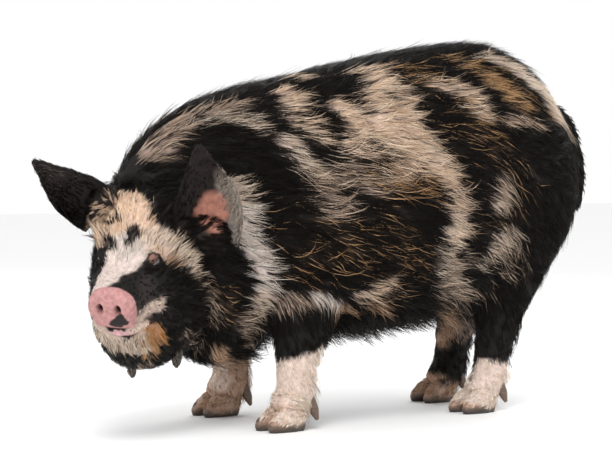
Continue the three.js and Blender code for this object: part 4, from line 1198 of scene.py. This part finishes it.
def on_skin(points):
    """The nearest places on the skin and their outward directions."""
    places, outward = np.empty_like(points), np.empty_like(points)
    for i, point in enumerate(to_metres(points)):
        places[i], outward[i] = ground_tree.find_nearest(Vector(point))[:2]
    return to_millimetres(places), outward


# %% Roots of the hair
def in_the_open(place, way):
    """False for skin that lies inside another part of the skin."""
    start = Vector(to_metres(place + way))
    _, normal, _, _ = ground_tree.ray_cast(start, Vector(way))
    return normal is None or normal.dot(Vector(way)) < 0


skin.data.calc_loop_triangles()
corners = np.array([t.vertices for t in skin.data.loop_triangles])
corner_places = skin_points[corners]
triangle_area = np.linalg.norm(
    np.cross(corner_places[:, 1] - corner_places[:, 0], corner_places[:, 2] - corner_places[:, 0]), axis=1)
triangle_place = corner_places.mean(axis=1)
triangle_normal = unit(skin_normals[corners].mean(axis=1))
triangle_open = np.array([in_the_open(place, way) for place, way in zip(triangle_place, triangle_normal)])
triangle_part = np.searchsorted(list(part_ends.values()), corners[:, 0], side="right")
PARTS = list(part_ends)
print("skin triangles:", len(corners))


TUFT = 7


def skin_roots(parts, count, seed, density):
    """Roots of tufts spread evenly over parts of the skin by area and by density."""
    rng = np.random.default_rng(seed)
    count //= TUFT
    chosen = np.isin(triangle_part, [PARTS.index(part) for part in parts])
    total = np.cumsum(triangle_area * triangle_open * chosen * density(triangle_place, triangle_normal))
    picks = (np.arange(count) + rng.random(count)) / count * total[-1]
    cell = np.minimum(np.searchsorted(total, picks), len(total) - 1)
    u, v = rng.random((2, count))
    flip = u + v > 1
    u, v = np.where(flip, 1 - u, u)[:, None], np.where(flip, 1 - v, v)[:, None]
    a, b, c = (corner_places[cell, k] for k in range(3))
    na, nb, nc = (skin_normals[corners[cell, k]] for k in range(3))
    places = a + u * (b - a) + v * (c - a)
    outward = unit(na + u * (nb - na) + v * (nc - na))
    low, high = places.min(axis=0), places.max(axis=0)
    share = (places - low) / (high - low)
    turn = np.arctan2(share[:, 2] - 0.5, share[:, 1] - 0.5) / (2 * np.pi) + 0.5
    return places, outward, np.stack([0.01 + 0.98 * share[:, 0], 0.01 + 0.98 * turn], axis=1), rng


# %% Blades of hair
SOFT_HAIR = [
    # way along the hair, width, thickness
    (0.0, 0.8, 0.5),
    (0.5, 1.0, 0.5),
]
LONG_HAIR = [(0.0, 0.9, 0.5), (0.28, 1.0, 0.5), (0.55, 0.8, 0.5), (0.8, 0.5, 0.5)]
# From root to tip each hair goes from cool and darker to warm and golden: the golden tips are the hair's own
# colour, and the darker roots are partly painted shade deep in the coat.
ROOT_TINT_AND_PAINTED_SHADE, TIP_TINT = np.array((0.74, 0.76, 0.80)), np.array((1.18, 1.10, 0.98))
PATCH = 0.003


def blade_faces(rings):
    faces = [(0, 2, 1)]
    for k in range(0, 3 * rings - 3, 3):
        faces += [(k + j, k + (j + 1) % 3, k + (j + 1) % 3 + 3, k + j + 3) for j in range(3)]
    last = 3 * rings - 3
    return faces + [(last + j, last + (j + 1) % 3, last + 3) for j in range(3)]


def hair_mesh(name, blade, paths, normals, widths, colours, spots):
    """One mesh of many hairs; paths holds the places of each from root to tip."""
    count, rings = len(paths), len(blade)
    rows = []
    for k, (_, wide, thick) in enumerate(blade):
        heading = unit(paths[:, k + 1] - paths[:, k])
        aside = unit(np.cross(heading, normals[:, k]))
        half = (widths * wide / 2)[:, None]
        ridge = paths[:, k] + normals[:, k] * half * thick * 2
        rows += [paths[:, k] - aside * half, ridge, paths[:, k] + aside * half]
    points = np.stack([*rows, paths[:, rings]], axis=1)
    faces = blade_faces(rings)
    corners = np.concatenate([np.array(f) for f in faces])
    each = points.shape[1]
    mesh = bpy.data.meshes.new(name)
    mesh.vertices.add(count * each)
    mesh.vertices.foreach_set("co", to_metres(points.reshape(-1, 3)).astype(np.float32).ravel())
    index = (np.arange(count)[:, None] * each + corners).ravel()
    mesh.loops.add(len(index))
    mesh.loops.foreach_set("vertex_index", index.astype(np.int32))
    totals = np.tile([len(f) for f in faces], count)
    mesh.polygons.add(len(totals))
    mesh.polygons.foreach_set("loop_start", np.concatenate([[0], np.cumsum(totals)[:-1]]).astype(np.int32))
    mesh.polygons.foreach_set("loop_total", totals.astype(np.int32))
    mesh.polygons.foreach_set("use_smooth", [True] * len(totals))
    mesh.update(calc_edges=True)
    made = bpy.data.objects.new(name, mesh)
    bpy.context.scene.collection.objects.link(made)
    mesh.materials.append(hair_material)
    ways = np.array([way for way, _, _ in blade for _ in range(3)] + [1.0])
    # Painted shade at the roots of each hair, fading to the golden tint of its tip.
    tint_and_painted_shade = ROOT_TINT_AND_PAINTED_SHADE + (TIP_TINT - ROOT_TINT_AND_PAINTED_SHADE) * ways[:, None]
    paint(made, "hair", np.minimum(colours[:, None, :] * tint_and_painted_shade, 1).reshape(-1, 3))
    sideways = np.array([0, 0.5, 1] * rings + [0.5])
    patches = np.stack([spots[:, 0:1] + sideways * PATCH, spots[:, 1:2] + ways * PATCH], axis=2)
    uv = mesh.uv_layers.new(name="OFBake")
    uv.data.foreach_set("uv", patches.reshape(-1, 2)[index].astype(np.float32).ravel())
    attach(made, "root")
    print(name, "has", count, "hairs,", count * (6 * rings - 2), "triangles")
    return made


# %% How the hair lies
FACE_WHORL = np.array([105, 0, -25])
LEG_LINES = [form["at"][::-1] for form in leg_forms.values()]


def beside_legs(p):
    """For each leg: how far back and how far aside of its middle line the points are."""
    for line in LEG_LINES:
        yield [p[:, k] - np.interp(p[:, 2], line[:, 2], line[:, k]) for k in (0, 1)]


def leg_share(p):
    """1 on the legs, fading to 0 where they run into the trunk."""
    share = np.zeros(len(p))
    for back, aside in beside_legs(p):
        near = 1 - smoothstep(np.hypot(back, aside), 70, 95)
        share = np.maximum(share, near * (1 - smoothstep(p[:, 2], 200, 290)))
    return share


def behind_leg(p):
    """1 on the rear of the lower legs."""
    share = np.zeros(len(p))
    for back, aside in beside_legs(p):
        near = (np.abs(aside) < 60) & (np.abs(back) < 90)
        share = np.maximum(share, near * smoothstep(back, 5, 28))
    return share * (1 - smoothstep(p[:, 2], 150, 210))


def head_share(p):
    return smoothstep(to_head(p)[:, 0], -120, -40)


def body_lie(p):
    """The coat's direction: back and down on the trunk, down the legs, out from the face's whorl."""
    x, y, z = p.T
    one = np.ones(len(p))
    thigh = 1.3 * smoothstep(x, 120, 300) * (1 - smoothstep(z, 380, 520))
    belly = smoothstep(-z, -260, -200) * (1 - smoothstep(np.abs(x), 250, 330))
    fall = -0.35 - thigh - 0.5 * belly - 3 * smoothstep(x, 395, 470)
    trunk = unit(np.stack([one, 0.1 * np.sign(y), fall], axis=1))
    trunk = mixed(trunk, np.array([0.33, 0, -0.94]), leg_share(p))
    local = to_head(p)
    fan = unit(local - FACE_WHORL)
    back = unit(np.stack([-one, 0.2 * np.sign(local[:, 1]), -0.35 * one], axis=1))
    face = mixed(back, fan, smoothstep(local[:, 0], -60, 20)) @ HEAD_AXES
    return mixed(trunk, face, head_share(p))


def down_lie(p):
    return np.tile([0.25, 0, -1.0], (len(p), 1))


def toe_lie(p):
    return np.tile([-1, 0, -0.7], (len(p), 1))


def turned(direction, axis, angle):
    """Directions turned about axes that they are square to."""
    c, s = np.cos(angle)[:, None], np.sin(angle)[:, None]
    return direction * c + np.cross(axis, direction) * s


# %% Growing hair
HAIR_FLOOR = 1.0


SPARSE = 0.3


def hair_tones(points, own, rng):
    """The colour of each hair by the markings at its middle; a tuft's hairs are alike."""
    tufts = own.max() + 1
    luck = 0.55 * rng.random(tufts)[own] + 0.45 * rng.random(len(own))
    loose = rng.random(len(own))
    tone = np.full(len(points), BLACK)
    for colour, share in patch_shares(points):
        tone[np.where(share > SPARSE, luck, loose) < share] = colour
        luck, loose = (luck + 0.618) % 1, (loose + 0.618) % 1
    tone[rng.random(len(points)) < BLACK_SHARE[tone]] = BLACK
    light = (0.5 * rng.random(tufts)[own] + 0.5 * rng.random(len(own)))[:, None]
    return DARKEST[tone] * (1 - light) + LIGHTEST[tone] * light


GUIDE_STEPS = 5
LEAN = 0.4


def guides(roots, outward, lie, long, high, swirl, bend):
    """The way of each tuft over the skin from root to tip, and the skin's direction there."""
    place, normal = roots, outward
    places, normals = [place], [normal]
    for k in range(GUIDE_STEPS):
        way = lie(place)
        way = unit(way - normal * np.sum(way * normal, axis=1, keepdims=True))
        way = turned(way, normal, swirl + bend * 2 * k / GUIDE_STEPS)
        place, normal = on_skin(place + way * (long / GUIDE_STEPS)[:, None])
        places.append(place + normal * (high * ((k + 1) / GUIDE_STEPS)**0.8)[:, None])
        normals.append(normal)
    return np.stack(places, axis=1), np.stack(normals, axis=1)


def along_guide(rows, t):
    """Rows of places along guides, read off at the share t of each guide."""
    step = np.minimum((t * GUIDE_STEPS).astype(int), GUIDE_STEPS - 1)
    part = (t * GUIDE_STEPS - step)[:, None]
    which = np.arange(len(t))
    return rows[which, step] * (1 - part) + rows[which, step + 1] * part


def grow(name, blade, roots_of, lie, length, width, lift, tuft=TUFT, reach=7.0, curl=0.0, unruly=1.0,
         tones=None):
    """Grows a part of the coat in tufts, whose hairs lean towards one guide."""
    roots, outward, spots, rng = roots_of
    n = len(roots)
    long = length(roots) * rng.uniform(0.8, 1.25, n)
    high = lift(roots, outward) * rng.uniform(0.5, 1.5, n)
    swirl = unruly * (0.35 * frayed(roots, 60, 3) + rng.normal(0, 0.08, n))
    bend = unruly * (rng.normal(0, 0.3, n) - curl * np.sign(roots[:, 1]))
    places, normals = guides(roots, outward, lie, long, high, swirl, bend)
    own = np.repeat(np.arange(n), tuft)
    aside = unit(np.cross(places[:, 1] - places[:, 0], outward))[own]
    ahead = np.cross(outward[own], aside)
    turn, away = rng.uniform(0, 2 * np.pi, len(own)), reach * np.sqrt(rng.random(len(own)))
    offset = aside * (np.cos(turn) * away)[:, None] + ahead * (np.sin(turn) * away)[:, None]
    share = rng.uniform(0.65, 1.0, len(own))
    stand = rng.uniform(-0.4, 0.6, len(own)) * high[own]
    places, normals = places[own], normals[own]
    path, faces = [], []
    for w in [way for way, _, _ in blade] + [1.0]:
        normal = unit(along_guide(normals, w * share))
        point = along_guide(places, w * share) + offset * (1 - LEAN * w)
        point += normal * (stand * w - 1.5 * (w == 0))[:, None]
        point[:, 2] = np.maximum(point[:, 2], HAIR_FLOOR)
        path.append(point)
        faces.append(normal)
    wide = width * rng.uniform(0.7, 1.3, len(own))
    colours = (tones or hair_tones)(path[len(path) // 2], own, rng)
    return hair_mesh(name, blade, np.stack(path, axis=1), np.stack(faces, axis=1), wide, colours, spots[own])


HAIRS = {
    "flank": 14700,
    "head": 19900,
    "legs": 14000,
    "toe": 910,
    "tail": 1600,
    "tassels": 1400,
    "ear": 5000,
    "long": 2450,
    "long head": 1500,
}


def many(kind):
    return HAIRS[kind]


def always(size):
    """A length or a lift that is the same at every root."""
    return lambda p, *_: np.full(len(p), size)


# %% Length and lift of the coat
def eye_gap(local):
    """How far points of the head's frame are from the middle of the nearer eye."""
    gaps = [np.linalg.norm(local - np.array([EYE_AT[0], side * EYE_AT[1], EYE_AT[2]]), axis=1)
            for side in (-1, 1)]
    return np.minimum(*gaps)


def far_brow(local):
    """1 on the loose hair between the right eye and the right ear."""
    return 1 - smoothstep(patch_gap(local, [(-5, 84, 22, 14), (25, 72, 34, 12), (45, 62, 40, 6)]), 0, 12)


def coat_length(p):
    """The coat's length: long on the trunk, shorter on the legs and shortest on the face."""
    trunk = 66 + 8 * frayed(p, 60, 8)
    legs = 15 + 24 * smoothstep(p[:, 2], 125, 240) + 8 * (1 - smoothstep(p[:, 2], 35, 60))
    legs += 14 * behind_leg(p)
    local = to_head(p)
    f, r, u = local.T
    face = 42 - 16 * smoothstep(u, 0, 50)
    face -= (face - 7) * smoothstep(f, 55, 98) * smoothstep(u, -85, -60)
    face -= 12 * smoothstep(f, 40, 80) * (1 - smoothstep(u, -85, -60))
    brow = patch_gap(local, [(48, -44, 48, 8), (30, -75, 36, 8)])
    face += 12 * (1 - smoothstep(brow, 0, 10)) + 16 * far_brow(local)
    face *= 0.35 + 0.65 * smoothstep(eye_gap(local), 15, 28)
    mix = trunk + (legs - trunk) * leg_share(p)
    return np.maximum(mix + (face - mix) * head_share(p), 4.5)


def coat_lift(p, outward):
    """How far the tips stand off the skin: most under the belly, where the coat hangs."""
    belly = smoothstep(-outward[:, 2], 0.45, 0.9) * (1 - head_share(p))
    top = smoothstep(outward[:, 2], 0.7, 0.95) * smoothstep(p[:, 0], 150, 250)
    body = 6 + 22 * belly + 4 * top
    low = 0.12 * coat_length(p) + 5 * behind_leg(p) + 14 * far_brow(to_head(p))
    share = np.maximum(leg_share(p), head_share(p))
    return body + (low - body) * share


# %% Where hair grows
def bare(p, outward):
    """0 on the snout's disc, the eyes, the lower lip and the mouth's gap, and thinner on the pink folds by
    the eyes.
    """
    local = to_head(p)
    grown = 1 - smoothstep(local[:, 0], SNOUT["from"] - 7, SNOUT["from"] - 4) * (local[:, 2] > -60)
    grown *= smoothstep(eye_gap(local), EYE_RADIUS + 1, EYE_RADIUS + 3)
    grown *= 0.35 + 0.65 * smoothstep(np.minimum(*[patch_gap(local, fold) for fold in PINK_FOLDS]), 0, 3)
    grown *= smoothstep(patch_gap(local, LOWER_LIP), 0, 1)
    return grown * smoothstep(patch_gap(local, MOUTH_GAP), 1, 3)


def trunk_only(where):
    """The density of hair on a part of the trunk, without the legs and the head."""
    def density(p, outward):
        legs = leg_share(p) > 0.5
        return where(p) * ~legs * (head_share(p) < 0.5)
    return density


FLANKS = {
    "coat_flank_left_fore": lambda p: (p[:, 1] < 0) & (p[:, 0] < 90) & (p[:, 0] > -250),
    "coat_flank_left_hind": lambda p: (p[:, 1] < 0) & (p[:, 0] >= 90),
    "coat_flank_right_fore": lambda p: (p[:, 1] >= 0) & (p[:, 0] < 90) & (p[:, 0] > -250),
    "coat_flank_right_hind": lambda p: (p[:, 1] >= 0) & (p[:, 0] >= 90),
    "coat_neck": lambda p: p[:, 0] <= -250,
}
for i, (name, where) in enumerate(FLANKS.items()):
    grow(name, SOFT_HAIR, skin_roots(["body", "head"], many("flank"), 31 + i, trunk_only(where)),
         body_lie, coat_length, 0.85, coat_lift, reach=8.0, curl=0.12)

# %% Hair of the head and the legs
grow("coat_head", SOFT_HAIR,
     skin_roots(["body", "head"], many("head"), 51, lambda p, n: (head_share(p) >= 0.5) * bare(p, n)),
     body_lie, coat_length, 0.72, coat_lift, reach=3.5, unruly=0.7)
grow("coat_legs", SOFT_HAIR,
     skin_roots(["body"], many("legs"), 61, lambda p, n: leg_share(p) > 0.5),
     body_lie, coat_length, 0.8, coat_lift, reach=7.0)

# %% Hair of the toes, the tail and the tassels
def toe_roots(piece, count, seed):
    """Roots of tufts on the upper part of a claw, which the foot's hair covers."""
    rng = np.random.default_rng(seed)
    points = to_millimetres(np.array([v.co for v in piece.data.vertices]))
    normals = np.array([v.normal for v in piece.data.vertices])
    high = np.flatnonzero((points[:, 2] > hair_line(points)) & (normals[:, 2] > -0.3))
    pick = high[rng.integers(0, len(high), count // TUFT)]
    share = (points[pick] - points.min(axis=0)) / np.ptp(points, axis=0)
    return points[pick], normals[pick], 0.02 + 0.95 * share[:, :2], rng


for i, piece in enumerate(claws):
    if piece.name.startswith("horn"):
        grow(piece.name.replace("horn", "coat_toe"), SOFT_HAIR, toe_roots(piece, many("toe"), 81 + i),
             toe_lie, always(14.0), 0.7, always(1.5), reach=5.0, unruly=1.0)


def tassel_tones(points, own, rng):
    return np.array((0.035, 0.030, 0.028)) + np.array((0.26, 0.23, 0.20)) * rng.random((len(own), 1)) ** 2


def tail_length(p):
    """Longer towards the tuft at the tail's end."""
    return 16 + 22 * smoothstep(-p[:, 2], -440, -390)


grow("coat_tail", SOFT_HAIR, skin_roots(["tail"], many("tail"), 71, lambda p, n: 1.0), down_lie,
     tail_length, 0.9, always(4.0), reach=3.0, unruly=0.5)
grow("coat_tassels", SOFT_HAIR, skin_roots(["tassels"], many("tassels"), 72, lambda p, n: 1.0), down_lie,
     always(17.0), 0.7, always(2.5), reach=2.5, unruly=0.4, tones=tassel_tones)

# %% Hair of the ears
for i, name in enumerate(EARS):
    axis = ear_axes(name)[0]

    def ear_lie(p, axis=axis, name=name):
        return axis + 1.1 * rear_rim(p, name)[:, None] * ear_axes(name)[2]

    def ear_density(p, outward, name=name):
        along, x, _ = ear_places(p, name)
        inside = in_cup(p, outward, name)
        rim = smoothstep(np.abs(x), 34 * (1 - 0.7 * along), 46 * (1 - 0.7 * along))
        return np.where(inside, np.maximum(0.8 * rim, 0.4 * (1 - rosiness(p, name))), 1.0)

    def ear_length(p, name=name):
        along, x, _ = ear_places(p, name)
        return 15 + 10 * (1 - smoothstep(along, 0.1, 0.5)) + 8 * rear_rim(p, name)

    def ear_tones(p, own, rng, name=name):
        along, x, depth = ear_places(p, name)
        light = rng.random((len(p), 1))
        colour = DARKEST[BLACK] * (1 - light) + LIGHTEST[BLACK] * light
        within = smoothstep(depth, -26, -10) * (np.abs(x) < 40 * (1 - 0.6 * along))
        grey = 0.09 if name == "ear_left" else 0.3
        colour += grey * (within * rng.random(len(p)) ** 3)[:, None] * np.array((1, 0.8, 0.7))
        pale = rng.random(len(p)) < 0.96 * rear_rim(p, name)
        return np.where(pale[:, None], RIM_GREY * (0.55 + 0.9 * light), colour)

    grow("coat_" + name, SOFT_HAIR, skin_roots([name], many("ear"), 91 + i, ear_density), ear_lie,
         ear_length, 0.55, always(2.0), reach=2.5, unruly=0.5, tones=ear_tones)

# %% [markdown]
# ## Long hairs
# Over the soft coat stand fewer, longer hairs with curling ends. They break the outline, and
# hang as a fringe under the belly and the jaw.

# %% Long hairs
def long_lift(p, outward):
    belly = smoothstep(-outward[:, 2], 0.4, 0.8) * (1 - head_share(p))
    return (0.15 + 0.35 * belly) * coat_length(p)


def long_length(p):
    return 1.25 * coat_length(p)


LONG = {
    "long_hair_left": lambda p: (p[:, 1] < 0) & (p[:, 0] > -250),
    "long_hair_right": lambda p: (p[:, 1] >= 0) & (p[:, 0] > -250),
    "long_hair_neck": lambda p: p[:, 0] <= -250,
}
for i, (name, where) in enumerate(LONG.items()):
    grow(name, LONG_HAIR, skin_roots(["body", "head"], many("long"), 101 + i, trunk_only(where)),
         body_lie, long_length, 0.8, long_lift, reach=8.0, curl=0.3)
grow("long_hair_head", LONG_HAIR,
     skin_roots(["head"], many("long head"), 111,
                lambda p, n: (head_share(p) >= 0.5) * bare(p, n) * (to_head(p)[:, 0] < 80)),
     body_lie, long_length, 0.7, long_lift, reach=4.0, curl=0.2)
